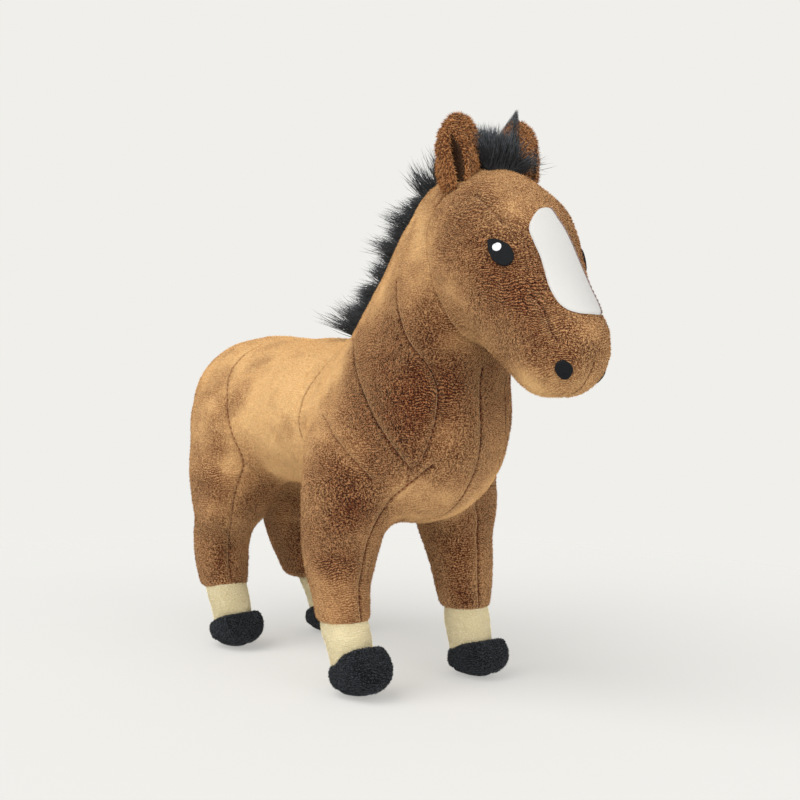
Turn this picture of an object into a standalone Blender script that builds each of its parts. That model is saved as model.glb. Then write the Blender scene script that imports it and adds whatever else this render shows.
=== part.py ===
"""Standing plush horse, about 0.3 m tall, built as it is sewn.

The horse faces +X, its left side is +Y and it stands on Z = 0. Every fabric skin is a
shell of its own, open where its neighbour is sewn on, and holds a core of fibre
stuffing. The head, the four limbs, the ears and the tail each turn about a crosswise
axis. Lengths are in metres. X is measured from the torso's rear until the whole horse is
centred. A share is read with the size that it follows.
"""
import math
from collections import namedtuple

import bmesh
import bpy
from mathutils import Matrix, Vector

# Fabric, stuffing and gaps
skin_thickness = 0.0016
gap = 0.0003
core_inset = skin_thickness + gap
swing_gap = 0.0005
swing_samples = 3
flat_angle = math.radians(0.6)
sharp_angle = math.radians(50.0)

# Torso: rows of place along it, top and bottom in half depths, and width
torso_length = 0.246
torso_half_depth = 0.0445
torso_half_width = 0.0465
torso_centre_height = 0.1425
torso_sides = 18
torso_shares = (
    (0.000, -0.05, -0.05, 0.00),
    (0.028, 0.39, -0.40, 0.43),
    (0.077, 0.71, -0.72, 0.71),
    (0.150, 0.92, -0.91, 0.90),
    (0.248, 0.99, -0.96, 0.99),
    (0.394, 1.00, -0.94, 0.97),
    (0.557, 0.99, -0.95, 0.95),
    (0.700, 0.99, -1.08, 0.97),
    (0.800, 0.97, -1.18, 1.00),
    (0.882, 0.87, -1.10, 0.89),
    (0.943, 0.66, -0.89, 0.70),
    (0.980, 0.39, -0.59, 0.44),
    (1.000, -0.10, -0.10, 0.00),
)

# Neck: runs up and forward from the chest, with a narrow crest at its back
neck_lean = math.radians(55.0)
neck_length = 0.134
neck_back_reach = 0.043
neck_front_reach = 0.042
neck_half_width = 0.042
neck_place_share = 0.73
neck_rise_share = 0.08
neck_sides = 14
neck_crest_share = 0.24
neck_shares = (
    (0.00, 0.00, 0.00, 0.00),
    (0.08, 1.00, 1.00, 1.00),
    (0.24, 1.00, 1.00, 0.99),
    (0.40, 1.00, 0.97, 0.94),
    (0.56, 1.00, 0.91, 0.88),
    (0.72, 0.99, 0.85, 0.82),
    (0.85, 0.93, 0.78, 0.76),
    (0.94, 0.78, 0.64, 0.64),
    (1.00, 0.00, 0.00, 0.00),
)

# Head: runs forward and down from the poll, which lies behind and above the neck's end
head_pitch = math.radians(-42.0)
head_length = 0.142
head_half_depth = 0.038
head_half_width = 0.0365
poll_back = 0.0310
poll_rise = 0.0118
head_axis_share = 0.76
head_sides = 16
head_shares = (
    (0.000, -0.08, -0.08, 0.00),
    (0.042, 0.34, -0.55, 0.44),
    (0.127, 0.64, -0.79, 0.71),
    (0.240, 0.84, -0.97, 0.91),
    (0.366, 0.93, -1.05, 1.00),
    (0.480, 0.90, -1.03, 0.97),
    (0.590, 0.76, -0.96, 0.86),
    (0.690, 0.60, -0.88, 0.75),
    (0.790, 0.49, -0.85, 0.69),
    (0.873, 0.40, -0.80, 0.61),
    (0.937, 0.24, -0.64, 0.47),
    (0.979, 0.02, -0.41, 0.27),
    (1.000, -0.20, -0.20, 0.00),
)

# Legs: rows of place down the leg, length and width; the hem is the leg's lower edge
hem_height = 0.037
limb_sides = 12
leg_axis_share = -0.30
front_leg_place_share = 0.758
front_leg_side_share = 0.796
front_leg_rise_share = 0.35
front_leg_forward = 0.0095
front_leg_spread = 0.003
front_leg_half_length = 0.0255
front_leg_half_width = 0.021
front_leg_shares = (
    (0.000, 0.00, 0.00),
    (0.050, 0.53, 0.50),
    (0.130, 0.83, 0.80),
    (0.250, 0.99, 0.98),
    (0.400, 0.96, 1.00),
    (0.580, 0.85, 0.93),
    (0.780, 0.75, 0.87),
    (0.940, 0.72, 0.85),
    (0.985, 0.67, 0.79),
    (1.000, 0.60, 0.72),
)
hind_leg_place_share = 0.256
hind_leg_side_share = 0.624
hind_leg_rise_share = 0.53
hind_leg_forward = -0.002
hind_leg_spread = 0.006
hind_leg_half_length = 0.031
hind_leg_half_width = 0.0225
hind_leg_shares = (
    (0.000, 0.00, 0.00),
    (0.050, 0.52, 0.48),
    (0.130, 0.81, 0.78),
    (0.270, 1.00, 0.99),
    (0.420, 0.95, 0.98),
    (0.600, 0.82, 0.91),
    (0.800, 0.71, 0.86),
    (0.940, 0.68, 0.84),
    (0.985, 0.63, 0.77),
    (1.000, 0.57, 0.70),
)

# Socks and hooves: a cream column from inside each hem down into a black hoof
sock_top_radius = 0.0137
sock_foot_radius = 0.0124
sock_tuck = 0.014
sock_foot_height = 0.011
front_sock_forward = 0.002
hind_sock_forward = 0.006
hoof_toe_shift = 0.0078
hoof_half_length = 0.017
hoof_half_width = 0.0147
hoof_height = 0.0236
hoof_shares = (
    (0.00, 0.86, 0.84),
    (0.18, 0.98, 0.97),
    (0.50, 1.00, 1.00),
    (0.82, 0.80, 0.81),
    (1.00, 0.30, 0.30),
)
sole_thickness = 0.0015
sole_share = 0.84

# Openings where one stuffing meets the next
limb_opening_radius = 0.011
neck_opening_radius = 0.020
neck_opening_share = 0.25
head_opening_radius = 0.017
opening_depth_share = 1.5

# How far each piece turns
leg_swing = math.radians(10.0)
nod_swing = math.radians(10.0)
ear_swing = math.radians(25.0)
tail_lift = math.radians(70.0)

# Ears: each stands on the brow, broad across the horse
ear_place_share = 0.190
ear_rise_share = 0.233
ear_side_share = 0.548
ear_length = 0.0425
ear_half_width = 0.0105
ear_half_thickness = 0.0048
ear_lean = 0.0030
ear_axis_share = 0.235
ear_sides = 10
ear_shares = (
    (0.00, 0.45, 0.60),
    (0.10, 0.75, 0.90),
    (0.35, 0.96, 1.00),
    (0.60, 1.00, 0.95),
    (0.82, 0.80, 0.82),
    (0.94, 0.50, 0.60),
    (1.00, 0.00, 0.00),
)
lining_thickness = 0.0008
lining_half_width = 0.0060
lining_half_height = 0.0130
lining_place_share = 0.60

# Mane and forelock: plain solids round their fur, along the neck's crest and over the poll
fur_sides = 8
fur_shares = (
    (0.00, 0.00),
    (0.04, 0.55),
    (0.15, 0.90),
    (0.50, 1.00),
    (0.85, 0.92),
    (0.96, 0.60),
    (1.00, 0.00),
)
mane_half_thickness = 0.0080
mane_half_height = 0.0120
mane_start_shares = (0.121, 1.246)
mane_end_shares = (0.814, 1.082)
forelock_half_thickness = 0.0070
forelock_half_height = 0.0140
forelock_start_shares = (-0.063, 0.161)
forelock_end_shares = (0.168, 0.936)

# Tail: rows of place back from the torso's rear, place above the root, and radius
tail_length = 0.100
tail_radius = 0.0100
tail_root_share = 0.53
tail_axis_share = 0.10
tail_shares = (
    (0.14, 0.00, 0.45),
    (0.03, 0.02, 0.72),
    (-0.09, -0.06, 0.90),
    (-0.15, -0.24, 1.00),
    (-0.16, -0.48, 0.98),
    (-0.14, -0.74, 0.88),
    (-0.11, -0.98, 0.50),
)

# Face patches: each follows the head and stands a little off it
patch_stand = 0.0003
patch_depth = 0.0100
patch_sides = 12
blaze_thickness = 0.0009
blaze_place_share = 0.451
blaze_length = 0.056
blaze_half_width = 0.0130
blaze_reach_share = 1.6
blaze_shares = (
    (0.00, 0.12),
    (0.06, 0.45),
    (0.16, 0.82),
    (0.28, 0.92),
    (0.55, 0.92),
    (0.76, 1.00),
    (0.90, 0.82),
    (0.97, 0.52),
    (1.00, 0.20),
)
eye_place_shares = (0.540, 0.440, 0.745)
eye_half_length = 0.0064
eye_half_height = 0.0064
eye_turn = math.radians(38.0)
eye_thickness = 0.0010
glint_radius = 0.0020
glint_back = 0.0018
glint_up = 0.0026
glint_thickness = 0.0006
nostril_place_shares = (0.946, -0.094, 0.384)
nostril_half_length = 0.0042
nostril_half_height = 0.0045
nostril_turn = math.radians(50.0)
nostril_thickness = 0.0010


# Mesh helpers

def clear_scene():
    """Remove every object, so that the script gives the same model each time."""
    for thing in list(bpy.data.objects):
        bpy.data.objects.remove(thing, do_unlink=True)


def merge_flats(mesh):
    """Join the flat splinters that a Boolean leaves, and split the rest into triangles."""
    shape = bmesh.new()
    shape.from_mesh(mesh)
    bmesh.ops.dissolve_limit(shape, angle_limit=flat_angle, verts=shape.verts[:],
                             edges=shape.edges[:])
    bmesh.ops.triangulate(shape, faces=shape.faces[:])
    shape.to_mesh(mesh)
    shape.free()


def new_object(name, mesh):
    """Link a new object that holds the mesh."""
    thing = bpy.data.objects.new(name, mesh)
    bpy.context.scene.collection.objects.link(thing)
    return thing


def ring_points(centre, up, up_reach, down_reach, half_width, sides, crest=0.0):
    """Points of an oval ring in the plane of up and Y; crest narrows its upper side."""
    points = []
    for step in range(sides):
        angle = 2.0 * math.pi * step / sides
        rise = math.cos(angle)
        reach = up_reach if rise > 0.0 else down_reach
        width = half_width * (1.0 - crest * rise)
        points.append(centre + up * (reach * rise) + Vector((0.0, width * math.sin(angle), 0.0)))
    return points


def loft(name, rings):
    """Skin a list of rings into one closed mesh; a ring of one point is a pole."""
    mesh = bpy.data.meshes.new(name)
    shape = bmesh.new()
    rows = [[shape.verts.new(point) for point in ring] for ring in rings]
    for low, high in zip(rows[:-1], rows[1:]):
        count = max(len(low), len(high))
        for step in range(count):
            after = (step + 1) % count
            if len(low) == 1:
                shape.faces.new((low[0], high[after], high[step]))
            elif len(high) == 1:
                shape.faces.new((low[step], low[after], high[0]))
            else:
                shape.faces.new((low[step], low[after], high[after], high[step]))
    for row in (rows[0], rows[-1]):
        if len(row) > 1:
            shape.faces.new(row)
    bmesh.ops.triangulate(shape, faces=shape.faces[:])
    bmesh.ops.recalc_face_normals(shape, faces=shape.faces[:])
    shape.to_mesh(mesh)
    shape.free()
    return new_object(name, mesh)


def grown(source, distance):
    """A copy of the object whose faces all lie the distance further out."""
    mesh = source.data.copy()
    shape = bmesh.new()
    shape.from_mesh(mesh)
    shape.normal_update()
    moves = [vert.normal * (distance * vert.calc_shell_factor()) for vert in shape.verts]
    for vert, move in zip(shape.verts, moves):
        vert.co += move
    shape.to_mesh(mesh)
    shape.free()
    return new_object(source.name + "_grown", mesh)


def turned(source, axis_place, angle):
    """A copy of the object turned about the line along Y through a place."""
    mesh = source.data.copy()
    pivot = Matrix.Translation(axis_place)
    mesh.transform(pivot @ Matrix.Rotation(angle, 4, "Y") @ pivot.inverted())
    return new_object(source.name + "_turned", mesh)


def swept(source, axis_place, low, high):
    """Copies of a fixed form as a piece that turns from low to high meets it."""
    steps = [low + (high - low) * step / (swing_samples - 1) for step in range(swing_samples)]
    return [turned(source, axis_place, -angle) for angle in steps]


def combine(target, others, operation):
    """Apply exact Booleans of the others to the target, and remove them."""
    for other in others:
        step = target.modifiers.new(operation, "BOOLEAN")
        step.operation = operation
        step.solver = "EXACT"
        step.object = other
    bpy.context.view_layer.update()
    ready = target.evaluated_get(bpy.context.evaluated_depsgraph_get())
    target.data = bpy.data.meshes.new_from_object(ready)
    target.modifiers.clear()
    merge_flats(target.data)
    for other in others:
        bpy.data.objects.remove(other, do_unlink=True)
    return target


def cut(target, cutters):
    """Take the cutters away from the target."""
    return combine(target, cutters, "DIFFERENCE")


def rod(centre, direction, radius, half_length, sides=patch_sides, second_radius=None):
    """A prism of round or oval section along a direction."""
    mesh = bpy.data.meshes.new("rod")
    shape = bmesh.new()
    bmesh.ops.create_cone(shape, cap_ends=True, segments=sides, radius1=1.0, radius2=1.0, depth=2.0)
    shape.to_mesh(mesh)
    shape.free()
    second = radius if second_radius is None else second_radius
    stretch = Matrix.Diagonal((radius, second, half_length, 1.0))
    aim = Vector(direction).to_track_quat("Z", "Y").to_matrix().to_4x4()
    mesh.transform(Matrix.Translation(centre) @ aim @ stretch)
    return new_object("rod", mesh)


def between(start, end, share):
    """A place part of the way from start to end."""
    return start + (end - start) * share


def pitched(pitch):
    """The two directions of a spine in the mid plane: along it and up from it."""
    return (Vector((math.cos(pitch), 0.0, math.sin(pitch))),
            Vector((-math.sin(pitch), 0.0, math.cos(pitch))))


# Places that the pieces share

def torso_start():
    """The rearmost point of the torso."""
    return Vector((0.0, 0.0, torso_centre_height))


def neck_place(along_share, back_share=0.0):
    """A place along the neck, some way towards its crest."""
    along, crestward = pitched(neck_lean)
    foot = torso_start() + Vector((torso_length * neck_place_share, 0.0,
                                   torso_half_depth * neck_rise_share))
    return foot + along * (neck_length * along_share) + crestward * (neck_back_reach * back_share)


def head_place(along_share, up_share=0.0, side_share=0.0):
    """A place along the head, some way up from its spine and out to its left side."""
    along, up = pitched(head_pitch)
    poll = neck_place(1.0) + Vector((-poll_back, 0.0, poll_rise))
    return (poll + along * (head_length * along_share) + up * (head_half_depth * up_share)
            + Vector((0.0, head_half_width * side_share, 0.0)))


def ear_base(hand):
    """The foot of one ear, inside the head."""
    return head_place(ear_place_share, ear_rise_share, hand * ear_side_share)


def tail_root():
    """The place above the torso's rear where the tail starts."""
    return torso_start() + Vector((0.0, 0.0, torso_half_depth * tail_root_share))


def axis_places():
    """A point on each body's axis, all in the mid plane and all turning about Y."""
    leg_rise = Vector((0.0, 0.0, torso_half_depth * leg_axis_share))
    front = torso_start() + leg_rise + Vector((torso_length * front_leg_place_share, 0.0, 0.0))
    hind = torso_start() + leg_rise + Vector((torso_length * hind_leg_place_share, 0.0, 0.0))
    ear = head_place(ear_place_share, ear_rise_share) + Vector((0.0, 0.0, ear_length * ear_axis_share))
    return {
        "torso": Vector(),
        "head": neck_place(head_axis_share),
        "front_left_limb": front,
        "front_right_limb": front,
        "hind_left_limb": hind,
        "hind_right_limb": hind,
        "tail": tail_root() + Vector((tail_length * tail_axis_share, 0.0, 0.0)),
        "left_ear": ear,
        "right_ear": ear,
    }


# Forms: closed solids of the outer shapes, before anything is cut

def spine_form(name, start, pitch, length, half_depth, half_width, shares, sides):
    """A form along a straight pitched spine, from rows of place, top, bottom and width."""
    along, up = pitched(pitch)
    rings = []
    for place, top, bottom, width in shares:
        middle = start + along * (length * place) + up * (half_depth * (top + bottom) / 2.0)
        if width == 0.0:
            rings.append([middle])
            continue
        reach = half_depth * (top - bottom) / 2.0
        rings.append(ring_points(middle, up, reach, reach, half_width * width, sides))
    return loft(name, rings)


def make_torso_form():
    """Barrel, rump and deep chest in one form."""
    return spine_form("torso_form", torso_start(), 0.0, torso_length, torso_half_depth,
                      torso_half_width, torso_shares, torso_sides)


def make_neck_form():
    """Neck from inside the chest to inside the head."""
    crestward = pitched(neck_lean)[1]
    rings = []
    for place, back, front, width in neck_shares:
        middle = neck_place(place)
        if width == 0.0:
            rings.append([middle])
            continue
        rings.append(ring_points(middle, crestward, neck_back_reach * back,
                                 neck_front_reach * front, neck_half_width * width,
                                 neck_sides, neck_crest_share))
    return loft("neck_form", rings)


def make_head_form():
    """Cranium, cheeks and muzzle in one form."""
    return spine_form("head_form", head_place(0.0), head_pitch, head_length, head_half_depth,
                      head_half_width, head_shares, head_sides)


def upright_form(name, top, foot, half_length, half_width, shares, sides):
    """A standing form from rows of place down its height, length and width."""
    forward = Vector((1.0, 0.0, 0.0))
    rings = []
    for place, length, width in shares:
        middle = between(top, foot, place)
        if length == 0.0:
            rings.append([middle])
            continue
        reach = half_length * length
        rings.append(ring_points(middle, forward, reach, reach, half_width * width, sides))
    return loft(name, rings)


def route_form(name, points, radii, sides, flat=1.0):
    """A round or flattened form along points in the mid plane, with closed ends."""
    rings = []
    for step, (point, radius) in enumerate(zip(points, radii)):
        if radius == 0.0:
            rings.append([point])
            continue
        along = (points[min(step + 1, len(points) - 1)] - points[max(step - 1, 0)]).normalized()
        up = Vector((-along.z, 0.0, along.x))
        rings.append(ring_points(point, up, radius, radius, radius * flat, sides))
    return loft(name, rings)


def column_form(name, stand, top_height):
    """The sock's form, from a height at or above the leg's hem down into the hoof."""
    forward = Vector((1.0, 0.0, 0.0))
    rings = []
    for height, radius in ((top_height, sock_top_radius), (hoof_height, sock_foot_radius),
                           (sock_foot_height, sock_foot_radius)):
        middle = Vector((stand.x, stand.y, height))
        rings.append(ring_points(middle, forward, radius, radius, radius, limb_sides))
    return loft(name, rings)


def hoof_form(name, stand):
    """The hoof's form, its toe ahead of the sock."""
    foot = Vector((stand.x + hoof_toe_shift, stand.y, sole_thickness + gap))
    top = Vector((foot.x, foot.y, hoof_height))
    return upright_form(name, foot, top, hoof_half_length, hoof_half_width, hoof_shares, limb_sides)


# Pieces

def skin_of(name, form, cutters):
    """The fabric shell of a form, with its neighbours and its openings taken away."""
    skin = new_object(name, form.data.copy())
    return cut(skin, cutters + [grown(form, -skin_thickness)])


def core_of(name, form, cutters):
    """The stuffing inside a form, a skin and a gap in from its surface."""
    core = grown(form, -core_inset)
    core.name = name
    return cut(core, cutters) if cutters else core


def build_torso(torso, limbs):
    """The torso's skin, with an opening for the neck and each limb, and its stuffing."""
    along = pitched(neck_lean)[0]
    openings = [rod(neck_place(neck_opening_share), along, neck_opening_radius,
                    neck_length * neck_opening_share)]
    places = axis_places()
    for limb in limbs:
        centre = places[limb.name + "_limb"] + Vector((0.0, limb.top.y, 0.0))
        openings.append(rod(centre, (0.0, 1.0, 0.0), limb_opening_radius,
                            torso_half_width * opening_depth_share - abs(limb.top.y)))
    return [skin_of("torso_skin", torso, openings), core_of("torso_stuffing", torso, [])]


def build_neck(torso, neck, head_near):
    """The neck's skin and stuffing, cut by the torso and by the nodding head."""
    nod_place = axis_places()["head"]
    pieces = []
    for make, name in ((skin_of, "neck_skin"), (core_of, "neck_stuffing")):
        cutters = [grown(torso, gap)] + swept(head_near, nod_place, -nod_swing, nod_swing)
        pieces.append(make(name, neck, cutters))
    return pieces


def build_head(head):
    """The head's skin, open towards the neck, and its stuffing."""
    along = pitched(neck_lean)[0]
    mouth = rod(axis_places()["head"] - along * head_opening_radius, along, head_opening_radius,
                head_opening_radius * opening_depth_share)
    return [skin_of("head_skin", head, [mouth]), core_of("head_stuffing", head, [])]


# A limb: its name, the places of its leg's top and foot, its half sizes, its rows of
# shares and the place of its sock
Limb = namedtuple("Limb", "name top foot half_length half_width shares stand")


def front_limb(side_name, hand):
    """The sizes of a front limb."""
    top = torso_start() + Vector((torso_length * front_leg_place_share,
                                  hand * torso_half_width * front_leg_side_share,
                                  torso_half_depth * front_leg_rise_share))
    foot = Vector((top.x + front_leg_forward, top.y + hand * front_leg_spread, hem_height))
    stand = foot + Vector((front_sock_forward, 0.0, 0.0))
    return Limb("front_" + side_name, top, foot, front_leg_half_length, front_leg_half_width,
                front_leg_shares, stand)


def hind_limb(side_name, hand):
    """The sizes of a hind limb."""
    top = torso_start() + Vector((torso_length * hind_leg_place_share,
                                  hand * torso_half_width * hind_leg_side_share,
                                  torso_half_depth * hind_leg_rise_share))
    foot = Vector((top.x + hind_leg_forward, top.y + hand * hind_leg_spread, hem_height))
    stand = foot + Vector((hind_sock_forward, 0.0, 0.0))
    return Limb("hind_" + side_name, top, foot, hind_leg_half_length, hind_leg_half_width,
                hind_leg_shares, stand)


def build_limb(limb, torso_near):
    """One limb: brown leg, cream sock, black hoof, sole and stuffing."""
    name = limb.name
    axis_place = axis_places()[name + "_limb"]
    leg = upright_form(name + "_leg_form", limb.top, limb.foot, limb.half_length,
                       limb.half_width, limb.shares, limb_sides)
    sock = column_form(name + "_sock_form", limb.stand, hem_height - gap)
    column = column_form(name + "_column", limb.stand, hem_height + sock_tuck)
    hoof = hoof_form(name + "_hoof_form", limb.stand)
    leg_skin = skin_of(name + "_leg", leg, swept(torso_near, axis_place, -leg_swing, leg_swing)
                       + [grown(column, -skin_thickness)])
    sock_skin = cut(new_object(name + "_sock", sock.data.copy()),
                    [grown(hoof, gap), grown(column, -skin_thickness)])
    hoof_skin = skin_of(name + "_hoof", hoof, [grown(column, -skin_thickness)])
    sole_middle = Vector((limb.stand.x + hoof_toe_shift, limb.stand.y, sole_thickness / 2.0))
    sole = rod(sole_middle, (0.0, 0.0, 1.0), hoof_half_length * sole_share,
               sole_thickness / 2.0, limb_sides, hoof_half_width * sole_share)
    sole.name = name + "_sole"
    core = core_of(name + "_stuffing", leg, swept(torso_near, axis_place, -leg_swing, leg_swing))
    combine(core, [grown(column, -core_inset), grown(hoof, -core_inset)], "UNION")
    for form in (leg, sock, column, hoof):
        bpy.data.objects.remove(form, do_unlink=True)
    return [leg_skin, sock_skin, hoof_skin, sole, core]


def patch(name, form, window, lift, thickness):
    """A thin piece that follows the form it is sewn on, inside a window."""
    piece = grown(form, lift + thickness)
    piece.name = name
    combine(piece, [window], "INTERSECT")
    return cut(piece, [grown(form, lift)])


def blaze_window():
    """A prism of the blaze's outline, standing square to the face."""
    along, up = pitched(head_pitch)
    edge = [(place, width) for place, width in blaze_shares]
    edge += [(place, -width) for place, width in reversed(blaze_shares)]
    rings = []
    for lift_share in (0.0, blaze_reach_share):
        start = head_place(blaze_place_share, lift_share)
        rings.append([start + along * (blaze_length * place)
                      + Vector((0.0, blaze_half_width * width, 0.0)) for place, width in edge])
    return loft("blaze_window", rings)


def outward_of(hand, turn):
    """The level direction out of the head's side, turned towards its front."""
    return Vector((math.sin(turn), hand * math.cos(turn), 0.0))


def build_face(head):
    """Blaze, embroidered eyes with a glint, and nostrils."""
    pieces = [patch("blaze", head, blaze_window(), patch_stand, blaze_thickness)]
    for side_name, hand in (("left", 1.0), ("right", -1.0)):
        outward = outward_of(hand, eye_turn)
        forward = outward.cross(Vector((0.0, 0.0, hand)))
        place, up, side = eye_place_shares
        centre = head_place(place, up, hand * side)
        window = rod(centre, outward, eye_half_length, patch_depth, patch_sides, eye_half_height)
        pieces.append(patch(side_name + "_eye", head, window, patch_stand, eye_thickness))
        spot = centre - forward * glint_back + Vector((0.0, 0.0, glint_up))
        window = rod(spot, outward, glint_radius, patch_depth, patch_sides // 2)
        glint_stand = patch_stand + eye_thickness + patch_stand
        pieces.append(patch(side_name + "_eye_glint", head, window, glint_stand, glint_thickness))
        place, up, side = nostril_place_shares
        window = rod(head_place(place, up, hand * side), outward_of(hand, nostril_turn),
                     nostril_half_length, patch_depth, patch_sides, nostril_half_height)
        pieces.append(patch(side_name + "_nostril", head, window, patch_stand, nostril_thickness))
    return pieces


def build_ear(side_name, hand, head_near):
    """One ear with its lining."""
    axis_place = axis_places()[side_name + "_ear"]
    base = ear_base(hand)
    tip = base + Vector((ear_lean, 0.0, ear_length))
    ear = upright_form(side_name + "_ear", base, tip, ear_half_thickness, ear_half_width,
                       ear_shares, ear_sides)
    middle = between(base, tip, lining_place_share) + Vector((ear_half_thickness, 0.0, 0.0))
    window = rod(middle, (1.0, 0.0, 0.0), lining_half_width, ear_half_thickness, ear_sides,
                 lining_half_height)
    lining = patch(side_name + "_ear_lining", ear, window, patch_stand, lining_thickness)
    for piece in (lining, ear):
        cut(piece, swept(head_near, axis_place, -ear_swing, ear_swing))
    return [ear, lining]


def fur_form(name, start, end, half_height, half_thickness):
    """A flattened pod of fur from start to end."""
    points = [between(start, end, place) for place, width in fur_shares]
    radii = [half_height * width for place, width in fur_shares]
    return route_form(name, points, radii, fur_sides, half_thickness / half_height)


def build_fur(torso, neck, head, torso_near, head_near):
    """Mane, forelock and tail."""
    places = axis_places()
    mane = fur_form("mane", neck_place(*mane_start_shares), neck_place(*mane_end_shares),
                    mane_half_height, mane_half_thickness)
    forelock = fur_form("forelock", head_place(*forelock_start_shares),
                        head_place(*forelock_end_shares), forelock_half_height,
                        forelock_half_thickness)
    keep_off = grown(forelock, swing_gap)
    cut(mane, [grown(neck, gap), grown(torso, gap)]
        + swept(head_near, places["head"], -nod_swing, nod_swing)
        + swept(keep_off, places["head"], -nod_swing, nod_swing))
    neck_near = grown(neck, swing_gap)
    cut(forelock, [grown(head, gap)] + swept(neck_near, places["head"], -nod_swing, nod_swing))
    for form in (keep_off, neck_near):
        bpy.data.objects.remove(form, do_unlink=True)
    points = [tail_root() + Vector((tail_length * back, 0.0, tail_length * rise))
              for back, rise, width in tail_shares]
    radii = [tail_radius * width for back, rise, width in tail_shares]
    tail = route_form("tail", points, radii, fur_sides)
    cut(tail, swept(torso_near, places["tail"], 0.0, tail_lift))
    return [mane, forelock, tail]


# Bodies: what carries each turning body

carriers_of = {
    "torso": None,
    "head": "torso",
    "front_left_limb": "torso",
    "front_right_limb": "torso",
    "hind_left_limb": "torso",
    "hind_right_limb": "torso",
    "tail": "torso",
    "left_ear": "head",
    "right_ear": "head",
}


def body_of(name):
    """The body that carries a piece, from the piece's name."""
    for body in ("left_ear", "right_ear"):
        if name.startswith(body):
            return body
    for limb in ("front_left", "front_right", "hind_left", "hind_right"):
        if name.startswith(limb):
            return limb + "_limb"
    if name.startswith(("torso", "neck", "mane")):
        return "torso"
    return "tail" if name == "tail" else "head"


# Materials: colour and roughness of each finish, and the finish of each kind of piece

finishes = {
    "tan_plush": ((0.47, 0.27, 0.12), 0.95),
    "brown_plush": ((0.31, 0.15, 0.06), 0.95),
    "lining_plush": ((0.17, 0.08, 0.04), 0.95),
    "cream_plush": ((0.84, 0.72, 0.46), 0.95),
    "black_plush": ((0.020, 0.024, 0.030), 0.95),
    "black_fur": ((0.018, 0.022, 0.028), 0.80),
    "pale_fabric": ((0.76, 0.75, 0.73), 0.85),
    "black_thread": ((0.012, 0.013, 0.016), 0.55),
    "white_thread": ((0.86, 0.86, 0.85), 0.55),
    "fibre_fill": ((0.80, 0.80, 0.78), 1.00),
}
finish_endings = (
    ("stuffing", "fibre_fill"), ("torso_skin", "tan_plush"), ("lining", "lining_plush"),
    ("sock", "cream_plush"), ("hoof", "black_plush"), ("sole", "black_plush"),
    ("mane", "black_fur"), ("forelock", "black_fur"), ("tail", "black_fur"),
    ("blaze", "pale_fabric"), ("glint", "white_thread"), ("eye", "black_thread"),
    ("nostril", "black_thread"),
)


def finish_of(name):
    """The name of a piece's finish."""
    for ending, finish in finish_endings:
        if name.endswith(ending):
            return finish
    return "brown_plush"


def make_material(piece_name):
    """A Principled material for one piece."""
    colour, roughness = finishes[finish_of(piece_name)]
    material = bpy.data.materials.new(piece_name + "_finish")
    material.use_nodes = True
    shader = material.node_tree.nodes["Principled BSDF"]
    shader.inputs["Base Color"].default_value = (*colour, 1.0)
    shader.inputs["Roughness"].default_value = roughness
    shader.inputs["Metallic"].default_value = 0.0
    return material


def finish_piece(piece):
    """Shade a piece smooth and give it its material."""
    piece.data.name = piece.name
    piece.data.materials.clear()
    piece.data.materials.append(make_material(piece.name))
    piece.data.shade_smooth()
    piece.data.set_sharp_from_angle(angle=sharp_angle)


def place_pieces(pieces):
    """Parent each piece to an empty on its body's axis, and centre the horse along X."""
    corners = [vert.co.x for piece in pieces for vert in piece.data.vertices]
    middle = (min(corners) + max(corners)) / 2.0
    places = axis_places()
    carriers = {}
    for body, parent in carriers_of.items():
        carrier = bpy.data.objects.new(body + "_axis", None)
        bpy.context.scene.collection.objects.link(carrier)
        if parent is None:
            carrier.location = Vector((-middle, 0.0, 0.0))
        else:
            carrier.parent = carriers[parent]
            carrier.location = places[body] - places[parent]
        carriers[body] = carrier
    for piece in pieces:
        body = body_of(piece.name)
        piece.data.transform(Matrix.Translation(-places[body]))
        piece.parent = carriers[body]


def main():
    """Build the horse."""
    clear_scene()
    limbs = []
    for side_name, hand in (("left", 1.0), ("right", -1.0)):
        limbs += [front_limb(side_name, hand), hind_limb(side_name, hand)]
    torso = make_torso_form()
    neck = make_neck_form()
    head = make_head_form()
    torso_near = grown(torso, swing_gap)
    head_near = grown(head, swing_gap)
    pieces = build_torso(torso, limbs) + build_neck(torso, neck, head_near) + build_head(head)
    for limb in limbs:
        pieces += build_limb(limb, torso_near)
    pieces += build_ear("left", 1.0, head_near) + build_ear("right", -1.0, head_near)
    pieces += build_face(head)
    pieces += build_fur(torso, neck, head, torso_near, head_near)
    for form in (torso, neck, head, torso_near, head_near):
        bpy.data.objects.remove(form, do_unlink=True)
    for piece in pieces:
        finish_piece(piece)
    place_pieces(pieces)


main()
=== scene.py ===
"""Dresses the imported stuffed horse: sewn plush skins, socks, hooves, ears, face, mane and tail.

Lengths are in millimetres in the part's own frame (X to the nose, Y to the horse's left, Z up from
the soles). They turn into metres only where a mesh is made.
"""

import logging
import math
from dataclasses import dataclass, field
from enum import Enum
from typing import Callable, Iterable, Protocol, Sequence

import bpy
import numpy as np
from mathutils import Matrix, Vector
from mathutils.kdtree import KDTree

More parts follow.
